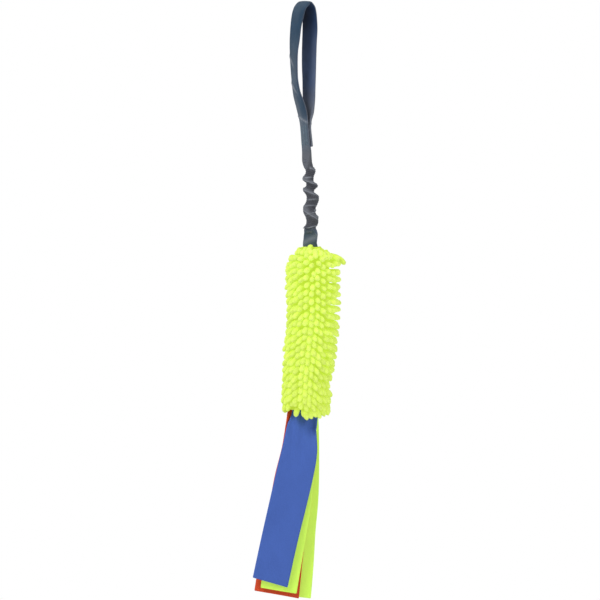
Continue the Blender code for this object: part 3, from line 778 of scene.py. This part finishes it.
jacket = lay_tube("cord_jacket", cord_stations(CORD_RADIUS), around=CORD_SIDES, ends="open")
apply_modifier(jacket, "wall", "SOLIDIFY", thickness=JACKET_WALL * MM, offset=-1)
wear(jacket, braid_material())
rubber = lay_tube("cord_rubber", cord_stations(CORD_RADIUS - JACKET_WALL - CORD_PLAY),
                  around=CORD_SIDES)
wear(rubber, rubber_material())
for piece, cad_node in ((jacket, "shock_cord_jacket"), (rubber, "shock_cord_core")):
    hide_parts(cad_node)
    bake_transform(piece)


# Lower end of the sleeve and core strap. The sleeve comes out of its gathers plain, closes flat
# below the cord and goes into the mop, where it runs on as the strap that takes the pull.
STRAP_SECTIONS = [
    (-276, 8.0, 0, 5.8, 4.4, 50), (-279.5, 7.8, 0, 7.6, 4.7, 52), (-282.5, 7.8, 0, 8.6, 4.4, 53),
    (-285, 8.2, 0, 9.3, 3.6, 54), (-288, 8.5, 0, 10, 2.2, 56), (-291, 8.2, 0, 10, 1.5, 58),
    (-295, 7.8, 0, 10, 1.4, 57), (-300, 7.4, 0, 10, 1.3, 60), (-308, 8.8, 0, 10, 1.3, 71),
    (-318, 12.2, 0, 10, 1.3, 88),
    (-345, 12.6, 0, 10, 1.3, 90), (-370, 11.8, 0, 10, 1.3, 90), (-395, 10.6, 0, 10, 1.3, 90),
    (-420, 8.1, 0, 10, 1.3, 90), (-445, 5.2, 0, 10, 1.3, 90), (-470, 2.9, 0, 10, 1.3, 90),
    (-494.5, 1.4, 0, 10, 1.3, 90),
]
# A slanting band of the cuff is paler: height, rise across, half height, and how much
CUFF_BAND = (-294.2, 0.5, 4.0, 0.36)
CUFF_WEAR = 0.08


def cuff_wear(places, middles, share):
    """The cuff keeps its shape. It is clean webbing again, with one paler band."""
    height, rise, tall, much = CUFF_BAND
    away = (places[:, 2] - rise * (places - middles)[:, 0]) / MM - height
    paleness = CUFF_WEAR + much * np.exp(-(away / tall) ** 2)
    return 0 * places, {"wear_and_painted_light": paleness, "dusty": read(DUST, places[:, 2] / MM)}


strap = lay_tube("cuff_and_core_strap", stations_from(STRAP_SECTIONS, 8), ruffle=cuff_wear)
wear(strap, webbing)
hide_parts("sleeve_lower_cuff", "core_strap")
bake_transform(strap)


# Bartacks. A dense zigzag of grey thread across the sleeve holds each end of the shock cord. It
# is sewn through both faces of the webbing and through the cord between them.
BARTACK_THREAD = (112, 118, 130)
BARTACK_RADIUS = 0.22 * MM
BARTACK_HALF_HEIGHT = 1.4 * MM
BARTACK_HALF_WIDTH = 4.2 * MM
BARTACK_LEGS, LEG_STEPS = 16, 4
# The thread lies this share of its radius over the webbing
BARTACK_LIFT = 0.4


def bartack(name, sections, height):
    """A zigzag laid on the sleeve's outer face at one height."""
    line = stations_from(sections, 8)
    run = []
    for leg in range(BARTACK_LEGS):
        for step in range(LEG_STEPS):
            climb = BARTACK_HALF_HEIGHT * (-1) ** leg * (1 - 2 * step / LEG_STEPS)
            across = BARTACK_HALF_WIDTH * (2 * (leg + step / LEG_STEPS) / BARTACK_LEGS - 1)
            run.append(on_face(line, height + climb, across, BARTACK_LIFT * BARTACK_RADIUS))
    return sew(name, [run], BARTACK_RADIUS)


grey_thread = thread_material("grey_thread", BARTACK_THREAD)
for tack_name, sections, height, body_name, cad_node in (
        ("upper_bartack", NECK_SECTIONS, -196.5 * MM, "bungee_upper", "cord_upper_bartack"),
        ("lower_bartack", STRAP_SECTIONS, -285.2 * MM, "bungee_lower", "cord_lower_bartack")):
    tack = bartack(tack_name, sections, height)
    wear(tack, grey_thread)
    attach(tack, body_name)
    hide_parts(cad_node)


# Mop cover, the cloth. A tube of knitted backing, drawn in round the strap at its neck and
# round the tails at its hem. Only glimpses of it show between the noodles.
COVER_CLOTH = 1.6 * MM
# Height, half width, half depth, turn
COVER_SECTIONS = [
    (-304, 11.2, 3.0, 68), (-306.5, 12.2, 4.4, 73), (-310, 15, 10.5, 84), (-315, 17.5, 16.5, 90),
    (-330, 17.5, 16.5, 90), (-380, 17.5, 16.5, 90), (-430, 17.5, 16.5, 90),
    (-480, 17.5, 16.5, 90), (-494, 17.5, 16.5, 90), (-498.5, 18.4, 14.2, 90),
    (-502.5, 20.2, 11.6, 90), (-506.5, 21, 10.6, 90),
]
# Below this the cover is at its full width
FULL_WIDTH_FROM = -330
# Height and x of the mop's middle line
MOP_LINE = [
    (-303, 8.7), (-306, 9.5), (-312, 11.5), (-318, 12.4), (-345, 12.6), (-370, 11.8),
    (-395, 10.6), (-420, 8.1), (-445, 5.2), (-470, 2.9), (-490, 1.4), (-507, 0.4),
]
# Painted shade: the noodles are darker towards their roots. The tip colour is the dye's own
CHENILLE_ROOT_SHADE, CHENILLE_TIP = (144, 168, 36), (168, 190, 68)
CHENILLE_SHEEN = (246, 255, 176)
# Painted glow for the fluorescent dye: the noodles give out light of their own, less towards their
# roots
PAINTED_GLOW_ROOT, PAINTED_GLOW_TIP = (212, 236, 74), (233, 253, 134)
CHENILLE_PAINTED_GLOW = 0.6
# The backing is knitted flat and looks a little darker
CLOTH_TONE = 0.95


def chenille_material(name):
    """Microfibre pile: every noodle dyed a touch differently, with painted shade towards its root
    and on its sides, and a painted glow for the fluorescent dye.
    """
    made, tree, shader = cloth_material(name, 0.9, 0.35, CHENILLE_SHEEN)
    reach, tone = attribute(tree, "reach"), attribute(tree, "tone")
    fuzz = node(tree, "Group", {"Fine": 1100, "Slow": 300, "Unevenness": 0.16},
                node_tree=FUZZ).outputs
    fibres = calc(tree, "MULTIPLY_ADD", fuzz["Height"], 0.4, 0.8)
    shade = calc(tree, "MULTIPLY", calc(tree, "MULTIPLY", fuzz["Tone"], tone), fibres)
    # Painted shade towards the roots and on the sides, in the colour and in the painted glow
    colour, glow = (shade_by(tree, mix_colour(tree, reach, linear(root), linear(tip)), shade)
                    for root, tip in ((CHENILLE_ROOT_SHADE, CHENILLE_TIP), (PAINTED_GLOW_ROOT, PAINTED_GLOW_TIP)))
    tree.links.new(glow, shader.inputs["Emission Color"])
    shader.inputs["Emission Strength"].default_value = CHENILLE_PAINTED_GLOW
    dress(tree, shader, colour, fuzz["Height"], 0.4, 0.25 * MM)
    return made


chenille = chenille_material("lime_chenille")
cover_stations = smooth_line([(0, 0, *section) for section in COVER_SECTIONS], 5)[::-1].copy()
cover_stations[:, 0] = read(MOP_LINE, cover_stations[:, 2])
cover_stations[:, :5] *= MM
cloth = lay_tube("mop_cloth", cover_stations, ends="open", level=True)
apply_modifier(cloth, "wall", "SOLIDIFY", thickness=COVER_CLOTH, offset=-1)
# The backing takes the painted shade of the noodles' roots
mark(cloth, "reach", 0.0)
mark(cloth, "tone", CLOTH_TONE)
wear(cloth, chenille)
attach(cloth, "mop")


# Mop cover, the noodles. Fat fingers of chenille, about 7 mm thick and 18 mm long, stand out of
# the backing in lengthwise rows and droop a little. The lowest ones hang over the tails.
NOODLE_RADIUS = 3.6
NOODLE_SIDES = 8
# The thinnest and the thickest, as shares of that
NOODLE_THICKNESS = (0.84, 1.02)
# The range of its lumps and of its dye
UNEVEN = (0.95, 1.05)
# It bends at this share of its length from the root
ELBOW = 0.5
# This keeps a side to a noodle that lies dead straight
NUDGE = np.array([1e-4, 2e-4, 1e-4])
# Share of the length, and share of the radius there
NOODLE_PROFILE = [(0, 0.66), (0.22, 0.74), (0.48, 0.86), (0.68, 0.98), (0.82, 1.0), (0.93, 0.78),
                  (0.985, 0.36)]
# Where the tips end: height of the tip, height of its root, left and right outline, half depth
MOP_OUTLINE = [
    (-300.5, -307.5, -1, 13, 8), (-305.5, -309.5, -6, 20.5, 15), (-311, -312.5, -12, 30.5, 22),
    (-317, -316.5, -20, 39, 28.5), (-326, -323, -22.3, 44.8, 31.3), (-345, -339.5, -22.4, 46.2, 32),
    (-370, -363.5, -22.2, 46, 32), (-390, -382, -20.4, 44.5, 32), (-410, -400.5, -22.2, 42.8, 32),
    (-430, -419, -24.8, 41, 32), (-450, -438, -24.8, 38.1, 31.5), (-464, -451.5, -25.8, 36, 31),
    (-476, -463, -25.4, 30.4, 29.5), (-490, -476, -26.4, 33.2, 27), (-500, -485, -27, 32.6, 25),
    (-508.5, -492.5, -23.5, 31.4, 22),
]
# The crown's rings of tips: height, number of noodles, and how far they fall to the left and
# to the right. Then the heights of the first and the last full ring.
CROWN_RINGS = [(-301, 9, 4.5, 6.5), (-304.8, 14, 1.5, 6), (-310.5, 20, 0, 3)]
RING_SPAN, RING_COUNT = (-317, -507), 21
NOODLE_COLUMNS = 24
FIRST_COLUMN = 0.7
# Every other column sits lower by this share of a row, but not those in the upper right outline.
# Each one also sits higher or lower by up to the second share.
STAGGER, COLUMN_SHIFT = 0.26, 0.1
LEVEL_FROM, LEVEL_OUTLINE = -398, 0.9
# How much higher the roots on the left sit, by height, and how much lower those on the right do
LEFT_DROOP = [(-330, 4), (-370, 5), (-410, 1.5), (-450, -1), (-490, -2)]
RIGHT_LIFT = 2.5
# The noodles are swept sideways, away from the middle of the front and of the back, in degrees
SWEEP = [(-380, 7), (-430, 16)]
# The way straight out is found between two points this far to either side of the root
ROOT_STEP = 0.004
# Noodles lie a little out of line, and some of them more so
COLUMN_WANDER, ROW_WANDER, REACH_WANDER = 0.12, 1.0, 0.045
BOLD_SHARE, BOLD_WANDER = 0.1, 3.0
NOODLE_SEED = 11
# Above the red strip's edge the lowest noodles end early: x there, half width, and how high
SHORT_NOODLES = (-16, 3.6, -502)
# A parting runs down the front of the hem: height and x, and its half width
PART_LINE = [(-470, -13), (-490, -11), (-512, -6.5)]
PART_HALF_WIDTH = 3.2
# Painted shade: a noodle that lies down is darker along its sides, all but its crest
SHELTER, SIDE_PAINTED_SHADE, CREST_SHARE = 2.0, 0.12, 0.75
# Noodles that stand out in the outline: height and bearing of the root, then the tip
STRAY_NOODLES = [
    (-313.2, 5, (51.4, -6, -325.6)), (-315.5, 352, (43.6, -12, -319)),
    (-500, 245, (-10.6, -13, -515)), (-499, 268, (-0.5, -14, -515.5)),
    (-501, 262, (4.2, -15.5, -519)), (-501, 276, (10, -14.5, -517.9)),
    (-499, 290, (15.4, -13.5, -515.6)), (-500, 300, (20.8, -12.5, -517.2)),
    (-499, 314, (25.8, -10.5, -514.6)), (-498, 330, (30.4, -8, -513.6)),
    (-497, 205, (-25.4, -7, -509.2)), (-500, 62, (18, 12.5, -516.5)),
    (-501, 84, (8, 14.5, -518.4)), (-501, 104, (-2.4, 14, -517.2)),
    (-500, 122, (-11, 12, -515.2)), (-499, 352, (31, -3.5, -511.5)),
    (-499, 10, (30, 4.5, -512.5)), (-499, 188, (-23.5, -0.5, -511)),
    (-499, 168, (-22.5, 6, -510)),
]
STRAY_THICKNESS = 1.0
# Noodles whose tips hang lower than this, and nearer to the middle, lie on the tails
FRINGE_TIP, FRINGE_MIDDLE, FRINGE_REACH = -508.5, 4, 22


def make_noodle():
    """One noodle as a template: a disc drawn out in steps, as tall as 1, with a domed tip."""
    bpy.ops.object.select_all(action="DESELECT")
    bpy.ops.mesh.primitive_circle_add(vertices=NOODLE_SIDES, radius=NOODLE_PROFILE[0][1],
                                      fill_type="NGON")
    made = bpy.context.object
    made.name = "noodle"
    bpy.ops.object.mode_set(mode="EDIT")
    bpy.ops.mesh.select_all(action="SELECT")
    for (low, narrow), (high, wide) in zip(NOODLE_PROFILE, NOODLE_PROFILE[1:]):
        bpy.ops.mesh.extrude_region_move(TRANSFORM_OT_translate={"value": (0, 0, high - low)})
        bpy.ops.transform.resize(value=(wide / narrow, wide / narrow, 1))
    bpy.ops.mesh.poke(offset=1 - NOODLE_PROFILE[-1][0])
    bpy.ops.mesh.select_all(action="SELECT")
    bpy.ops.mesh.normals_make_consistent(inside=False)
    bpy.ops.object.mode_set(mode="OBJECT")
    return made


def cover_root(height, share):
    """Where a noodle is knitted into the cloth, and which way is straight out there."""
    around = np.array([share, share + ROOT_STEP, share - ROOT_STEP]) % 1
    half_width, half_depth, turn = (read(COVER_SECTIONS, height, i) for i in (1, 2, 3))
    across, facing = flattened_round(around, half_width, half_depth)
    turn = math.radians(turn)
    width_way = np.array([-math.sin(turn), math.cos(turn), 0])
    depth_way = np.array([-math.cos(turn), -math.sin(turn), 0])
    ring = width_way * across[:, None] + depth_way * facing[:, None]
    out = unit(np.cross(ring[1] - ring[2], np.array([0, 0, 1.0])))
    if out @ ring[0] < 0:
        out = -out
    return np.array([read(MOP_LINE, height), 0, height]) + ring[0], out


def make_way(tip):
    """Keep a tip at the front off the red strip's edge and out of the parting."""
    x, y, height = tip
    if y >= 0:
        return
    if abs(x - SHORT_NOODLES[0]) < SHORT_NOODLES[1]:
        tip[2] = max(height, SHORT_NOODLES[2])
    from_part = x - read(PART_LINE, height)
    if height < PART_LINE[0][0] and abs(from_part) < PART_HALF_WIDTH:
        tip[0] += math.copysign(PART_HALF_WIDTH - abs(from_part), from_part)


def planned_noodles(rng):
    """Root, outward way, tip and thickness of every noodle, in millimetres."""
    full_rings = [(height, NOODLE_COLUMNS, 0, 0) for height in np.linspace(*RING_SPAN, RING_COUNT)]
    row_pitch = (RING_SPAN[0] - RING_SPAN[1]) / (RING_COUNT - 1)
    lower = [row_pitch * (STAGGER * (column % 2) + rng.uniform(-COLUMN_SHIFT, COLUMN_SHIFT))
             for column in range(NOODLE_COLUMNS)]
    planned = []
    for ring_height, count, left_fall, right_fall in CROWN_RINGS + full_rings:
        for column in range(count):
            bold = rng.random() < BOLD_SHARE and count == NOODLE_COLUMNS
            wander = BOLD_WANDER if bold else 1
            share = column + FIRST_COLUMN + wander * rng.uniform(-1, 1) * COLUMN_WANDER
            share = share / count % 1
            bearing = 2 * math.pi * (share + 0.25)
            leftward, rightward = max(-math.cos(bearing), 0), max(math.cos(bearing), 0)
            height = ring_height + wander * rng.uniform(-1, 1) * ROW_WANDER
            height -= left_fall * leftward + right_fall * rightward
            level = ring_height > LEVEL_FROM and rightward > LEVEL_OUTLINE
            if count == NOODLE_COLUMNS and not level:
                height -= lower[column]
            height = min(max(height, MOP_OUTLINE[-1][0]), MOP_OUTLINE[0][0])
            root_height, left, right, half_depth = (read(MOP_OUTLINE, height, i)
                                                    for i in range(1, 5))
            reach = 1 + rng.uniform(-1, 1) * REACH_WANDER
            tip = np.array([(left + right) / 2 + (right - left) / 2 * reach * math.cos(bearing),
                            half_depth * reach * math.sin(bearing), height])
            make_way(tip)
            if height < FULL_WIDTH_FROM:
                root_height += read(LEFT_DROOP, height) * leftward - RIGHT_LIFT * rightward
            root_share = (share - read(SWEEP, height) / 360 * math.sin(4 * math.pi * share)) % 1
            planned.append((*cover_root(root_height, root_share), tip,
                            rng.uniform(*NOODLE_THICKNESS)))
    for height, bearing, tip in STRAY_NOODLES:
        planned.append((*cover_root(height, (bearing / 360 - 0.25) % 1), np.array(tip, float),
                        STRAY_THICKNESS))
    return planned


def bend_noodle(template, root, out, tip, thickness):
    """The template's points, swept from the root, straight out at first, to the tip."""
    elbow = root + out * np.linalg.norm(tip - root) * ELBOW
    t = template[:, 2:3]
    line = (1 - t) ** 2 * root + 2 * t * (1 - t) * elbow + t ** 2 * tip
    tangent = unit(2 * (1 - t) * (elbow - root) + 2 * t * (tip - elbow))
    side = np.cross(elbow - root, tip - elbow) + NUDGE
    side = unit(side - (side @ unit(tip - root)) * unit(tip - root))
    up = unit(np.cross(tangent, side))
    side = np.cross(up, tangent)
    girth = side * template[:, 0:1] + up * template[:, 1:2]
    return (line + girth * NOODLE_RADIUS * thickness) * MM


rng = random.Random(NOODLE_SEED)
noodle_template = make_noodle()
template_points = np.array([v.co for v in noodle_template.data.vertices])
bunches = {"mop_noodles": [], "fringe_front": [], "fringe_back": []}
for root, out, tip, thickness in planned_noodles(rng):
    copy = noodle_template.copy()
    copy.data = noodle_template.data.copy()
    points = bend_noodle(template_points, root, out, tip, thickness)
    centre = points.mean(axis=0)
    swell = np.array([rng.uniform(*UNEVEN) for _ in points])[:, None] ** 0.5
    copy.data.vertices.foreach_set("co", (centre + (points - centre) * swell).ravel())
    # Painted shade: each noodle is darker towards its root and, if it lies down, along its sides.
    # Its tone also differs at random.
    lying = min(SHELTER * (1 - max(unit(tip - root) @ out, 0)), 1)
    shaded_sides = lying * np.clip(1 - template_points[:, 1] / CREST_SHARE, 0, 1)
    mark(copy, "reach", np.clip(2 * template_points[:, 2] - 1, 0, 1) * (1 - shaded_sides))
    mark(copy, "tone", rng.uniform(*UNEVEN) * (1 - SIDE_PAINTED_SHADE * shaded_sides))
    bpy.context.scene.collection.objects.link(copy)
    low = tip[2] < FRINGE_TIP and abs(tip[0] - FRINGE_MIDDLE) < FRINGE_REACH
    bunch = "mop_noodles" if not low else "fringe_front" if tip[1] < 0 else "fringe_back"
    bunches[bunch].append(copy)
bpy.data.objects.remove(noodle_template)

for bunch, copies in bunches.items():
    bpy.ops.object.select_all(action="DESELECT")
    for copy in copies:
        copy.select_set(True)
    bpy.context.view_layer.objects.active = copies[0]
    bpy.ops.object.join()
    noodles = bpy.context.object
    noodles.name = noodles.data.name = bunch
    bpy.ops.object.shade_smooth()
    wear(noodles, chenille)
    if bunch == "mop_noodles":
        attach(noodles, "mop")
        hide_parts("chenille_cover")
    else:
        tail_body, y = (("tail_blue", -0.00465) if bunch == "fringe_front" else
                        ("tail_lime_back", 0.00465))
        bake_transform(noodles)


# Wadding. Two long pads of polyester fibre fill the cover in front of the strap and behind it,
# and make it round. Their surface is lumpy, as teased fibre is.
WADDING_SPAN = (-319, -488)
WADDING_HALF_WIDTH, WADDING_HALF_DEPTH = 13.2, 12.2
WADDING_FLAT = 1.9
# Its ends are this much plumper than a ball's
WADDING_PLUMP = 2.2
LUMP_HEIGHT, LUMP_SIZE = 0.5, 6
FIBRE_WHITE = (232, 232, 226)


def wadding_material():
    """Bleached polyester fibre."""
    made, tree, shader = cloth_material("white_fibre", 0.95, 0.4, (255, 255, 255))
    fuzz = node(tree, "Group", {"Fine": 700, "Slow": 90, "Unevenness": 0.12},
                node_tree=FUZZ).outputs
    dress(tree, shader, shade_by(tree, linear(FIBRE_WHITE), fuzz["Tone"]), fuzz["Height"], 1.0,
          0.8 * MM)
    return made


wadding_finish = wadding_material()
pad_top, pad_bottom = WADDING_SPAN
for pad_name, side in (("wadding_pad_front", -1), ("wadding_pad_back", 1)):
    bpy.ops.object.select_all(action="DESELECT")
    bpy.ops.mesh.primitive_uv_sphere_add(segments=40, ring_count=60, radius=1)
    pad = bpy.context.object
    pad.name = pad.data.name = pad_name
    for vert in pad.data.vertices:
        x, y, z = vert.co
        level = math.sqrt(max(1 - z * z, 0))
        plump = min(1, level * WADDING_PLUMP) / max(level, 1e-6)
        height = (pad_top + pad_bottom + z * (pad_top - pad_bottom)) / 2
        depth = max(side * y * plump * WADDING_HALF_DEPTH, WADDING_FLAT)
        place = Vector((x * plump * WADDING_HALF_WIDTH, side * depth, height))
        lump = noise.noise(place / LUMP_SIZE) * LUMP_HEIGHT * (depth > WADDING_FLAT)
        vert.co = (place + Vector((read(MOP_LINE, height), side * lump, 0))) * MM
    finish_mesh(60)
    wear(pad, wadding_finish)
    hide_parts(pad_name.replace("_pad", ""))
    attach(pad, "mop")


# Threads of the cover. A zigzag of lime thread draws the neck in round the strap. The back seam,
# the hem and the tack through the tails' roots are sewn too, and keep the shapes of the frame.
NECK_STITCH_HEIGHT = -305.6
NECK_STITCH_RISE = 0.45
NECK_STITCH_LIFT = 0.2
NECK_STITCHES = 28
LIME_THREAD_RADIUS = 0.35 * MM
LIME_THREAD = (196, 226, 70)

lime_thread = thread_material("lime_thread", LIME_THREAD)
neck_run = []
for stitch in range(2 * NECK_STITCHES + 1):
    height = NECK_STITCH_HEIGHT + NECK_STITCH_RISE * (-1) ** stitch
    root, out = cover_root(height, stitch / (2 * NECK_STITCHES) % 1)
    neck_run.append((root + out * NECK_STITCH_LIFT) * MM)
neck_stitch = sew("neck_stitch", [neck_run], LIME_THREAD_RADIUS)
wear(neck_stitch, lime_thread)
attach(neck_stitch, "mop")
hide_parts("top_closure_stitch")
for cad_node, finish in (("cover_seam_thread", lime_thread), ("bottom_closure_stitch", lime_thread),
                         ("tail_bartack", grey_thread)):
    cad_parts[cad_node].data.materials.clear()
    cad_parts[cad_node].data.materials.append(finish)


# Tails. Four strips cut from polar fleece hang out of the mop: blue in front, then lime, red
# and lime. Their pleated roots are nested, drawn into the hem and sewn to the strap.
FLEECE_THICKNESS = 2.5 * MM
# Points across a strip, and between two rows of its route
FLEECE_COLUMNS, FLEECE_STEPS = 28, 15
# The roots begin a little narrower, at the first height, and come out of the hem at the last
ROOT_TOP, ROOT_HEM, HEM = -498, -504, -511
ROOT_TOP_WIDTH = 0.97
PLEAT_DEPTH, PLEAT_WIDTH, PLEAT_SHIFT, PLEAT_FADE = 1.5, 13.0, 2, 24.0
DIMPLE_PLACE, DIMPLE_SIZE, DIMPLE_DEPTH = (9.5, -531), (7.5, 12), 4.6
# The hanging part comes in from one length below the root's top over another. It ripples: how
# deep, how long and how slanted a ripple is, and how deep and how slanted the cup across is.
HANG_FROM, HANG_BLEND = 40, 120
RIPPLE_DEPTH, RIPPLE_LENGTH, RIPPLE_SLANT = 0.8, 23, 1.1
CUP_DEPTH, CUP_SLANT = 0.5, 2.4
# The red strip is the widest, and its left edge curls forward round the others: height, how far
# forward, and how wide the curl is
RED_CURL = [(-505, 0, 4.5), (-511, 5.5, 4.5), (-525, 4.5, 3.4), (-545, 1.5, 2), (-560, 0, 2)]
NO_CURL = [(-505, 0, 1), (-560, 0, 1)]
# Middle, depth, height and half width, in millimetres
BLUE_ROUTE = [
    (1.3, -4.65, -511, 16.2), (-1.5, -5.2, -525, 17.6), (-3.4, -5.7, -532.5, 18.9),
    (-5.6, -6.9, -557.5, 22.2), (-10.5, -8.2, -582.5, 23.2), (-19.2, -9.6, -620, 23.2),
    (-31, -9.4, -670, 22.7), (-42.2, -8.4, -721.8, 22.6),
]
LIME_FRONT_ROUTE = [
    (1.8, -1.55, -511, 15.4), (-1.4, -1.8, -532, 18), (-6.2, -2.4, -560, 20.8),
    (-13.5, -3.6, -620, 22.8), (-20.7, -3.9, -665, 23), (-31.9, -3.2, -733, 22.9),
]
RED_ROUTE = [
    (-2.2, 1.55, -511, 18.2), (-3.6, 1.9, -527, 19.0), (-7.2, 2.4, -557.5, 20.8),
    (-13, 2.9, -595, 24.3), (-19.8, 3.2, -640, 25.6), (-27.3, 3.4, -685, 26.8),
    (-34.3, 3.6, -738.9, 28.4),
]
LIME_BACK_ROUTE = [
    (1.4, 4.65, -511, 16.6), (0, 6, -545, 19), (-2.6, 7.8, -582.5, 21.8),
    (-4.8, 9.2, -620, 22.9), (-8.4, 10, -660, 23), (-10.7, 10.2, -700, 23), (-14.2, 10, -742.2, 23),
]
# The dye of each fleece, and the sheen of its pile
BLUE_FLEECE, BLUE_SHEEN = (73, 104, 184), (120, 150, 220)
LIME_FLEECE, LIME_SHEEN = (178, 226, 68), (236, 255, 160)
RED_FLEECE, RED_SHEEN = (216, 78, 44), (255, 150, 110)
# Painted glow for the fluorescent lime dye here too: the strips give out light of their own
LIME_FLEECE_PAINTED_GLOW, FLEECE_PAINTED_GLOW = (224, 255, 122), 0.35


def root_pleats(x, z):
    """How far the nested strips dip back, in millimetres: pleats that fade, and one dimple."""
    fade = np.exp(-np.clip(HEM - z, 0, None) / PLEAT_FADE)
    pleats = PLEAT_DEPTH * fade * np.cos(2 * math.pi * (x + PLEAT_SHIFT) / PLEAT_WIDTH)
    away = sum(((place - middle) / size) ** 2
               for place, middle, size in zip((x, z), DIMPLE_PLACE, DIMPLE_SIZE))
    return pleats + DIMPLE_DEPTH * np.exp(-away)


def fleece_strip(name, route, phase, skew, curl):
    """A strip of fleece: a grid laid down its route, thickened and rounded at its cut edges."""
    x, y, _, half_width = route[0]
    root = [(x, y, ROOT_TOP, half_width * ROOT_TOP_WIDTH), (x, y, ROOT_HEM, half_width)]
    line = smooth_line(root + route, FLEECE_STEPS)
    strip, column, row = cloth_grid(name, FLEECE_COLUMNS, len(line))
    share = 2 * column / FLEECE_COLUMNS - 1
    across = share * line[row, 3]
    middles = line[:, :3]
    along = run_length(middles)[row]
    forward = unit(np.gradient(middles, axis=0))
    forward[0] = (0, 0, -1)
    side = unit(np.array([1.0, 0, 0]) - forward[:, :1] * forward)
    late = np.clip(2 * along / along.max() - 1, 0, 1)
    places = (middles[row] + side[row] * across[:, None]
              + forward[row] * (late * skew * across)[:, None])
    hang = np.clip((along - HANG_FROM) / HANG_BLEND, 0, 1)
    ripple = (RIPPLE_DEPTH * np.sin(along / RIPPLE_LENGTH + phase + share * RIPPLE_SLANT)
              + CUP_DEPTH * np.sin(share * CUP_SLANT + phase))
    places[:, 1] += root_pleats(places[:, 0], places[:, 2]) + hang * ripple
    from_edge = across + line[row, 3]
    curled = np.clip(1 - from_edge / read(curl, places[:, 2], 2), 0, 1)
    places[:, 1] -= read(curl, places[:, 2]) * curled
    strip.data.vertices.foreach_set("co", (places * MM).ravel())
    lay_pattern(strip, across * MM, along * MM)
    apply_modifier(strip, "pile", "SOLIDIFY", thickness=FLEECE_THICKNESS, offset=0)
    apply_modifier(strip, "soft_edge", "SUBSURF", levels=1, render_levels=1)
    finish_mesh(70)
    return strip


def fleece_nap():
    """Brushed pile: short curls that lie along the strip, and slow marks where it was stroked."""
    group, given, out = new_group("fleece_nap", {"Across": 0, "Along": 0}, ["Height", "Tone"])
    place = node(group, "CombineXYZ", {0: given.outputs["Across"], 1: given.outputs["Along"]})
    stretched = node(group, "VectorMath", {0: place.outputs[0], 1: (1.0, 0.55, 1.0)},
                     operation="MULTIPLY").outputs[0]
    curls = node(group, "TexNoise", {"Vector": stretched, "Scale": 1100.0, "Detail": 4.0,
                                     "Roughness": 0.7, "Distortion": 0.6}).outputs[0]
    clumps = node(group, "TexNoise", {"Vector": place.outputs[0], "Scale": 330.0,
                                      "Detail": 2.0}).outputs[0]
    marks = node(group, "TexNoise", {"Vector": stretched, "Scale": 38.0, "Detail": 3.0}).outputs[0]
    height = calc(group, "MULTIPLY_ADD", clumps, 0.8, curls)
    group.links.new(height, out.inputs["Height"])
    tone = calc(group, "MULTIPLY_ADD", calc(group, "SUBTRACT", marks, 0.5), 0.22, 1.0)
    tone = calc(group, "MULTIPLY_ADD", calc(group, "SUBTRACT", curls, 0.5), 0.30, tone)
    group.links.new(tone, out.inputs["Tone"])
    return group


NAP = fleece_nap()


def fleece_material(name, colour, sheen_colour, glow=0.0):
    """Polar fleece in one colour. Where the dye is fluorescent it has a painted glow, a little
    light of its own.
    """
    made, tree, shader = cloth_material(name, 0.92, 0.3, sheen_colour)
    uv = own_uv(tree)
    nap = node(tree, "Group", {"Across": uv[0], "Along": uv[1]}, node_tree=NAP).outputs
    if glow:
        tree.links.new(shade_by(tree, linear(LIME_FLEECE_PAINTED_GLOW), nap["Tone"]),
                       shader.inputs["Emission Color"])
        shader.inputs["Emission Strength"].default_value = glow
    dress(tree, shader, shade_by(tree, linear(colour), nap["Tone"]), nap["Height"], 0.6, 0.5 * MM)
    return made


blue_fleece = fleece_material("blue_fleece", BLUE_FLEECE, BLUE_SHEEN)
lime_fleece = fleece_material("lime_fleece", LIME_FLEECE, LIME_SHEEN, FLEECE_PAINTED_GLOW)
red_fleece = fleece_material("red_fleece", RED_FLEECE, RED_SHEEN)
for tail_name, route, skew, curl, finish, slot_name, body_name, cad_nodes, flat_size in (
        ("blue_tail_strip", BLUE_ROUTE, 0.07, NO_CURL, blue_fleece, "blue_fleece", "tail_blue",
         ("blue_tail", "tail_roots"), (0.045, 0.231)),
        ("lime_front_strip", LIME_FRONT_ROUTE, 0, NO_CURL, lime_fleece, "lime_fleece",
         "tail_lime_front", ("lime_tail_front",), (0.046, 0.241)),
        ("red_tail_strip", RED_ROUTE, 0.052, RED_CURL, red_fleece, "red_fleece", "tail_red",
         ("red_tail",), (0.0566, 0.245)),
        ("lime_back_strip", LIME_BACK_ROUTE, 0.035, NO_CURL, lime_fleece, "lime_fleece",
         "tail_lime_back", ("lime_tail_back",), (0.046, 0.248))):
    strip = fleece_strip(tail_name, route, route[0][1], skew, curl)
    wear(strip, finish)
    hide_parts(*cad_nodes)
    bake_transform(strip)
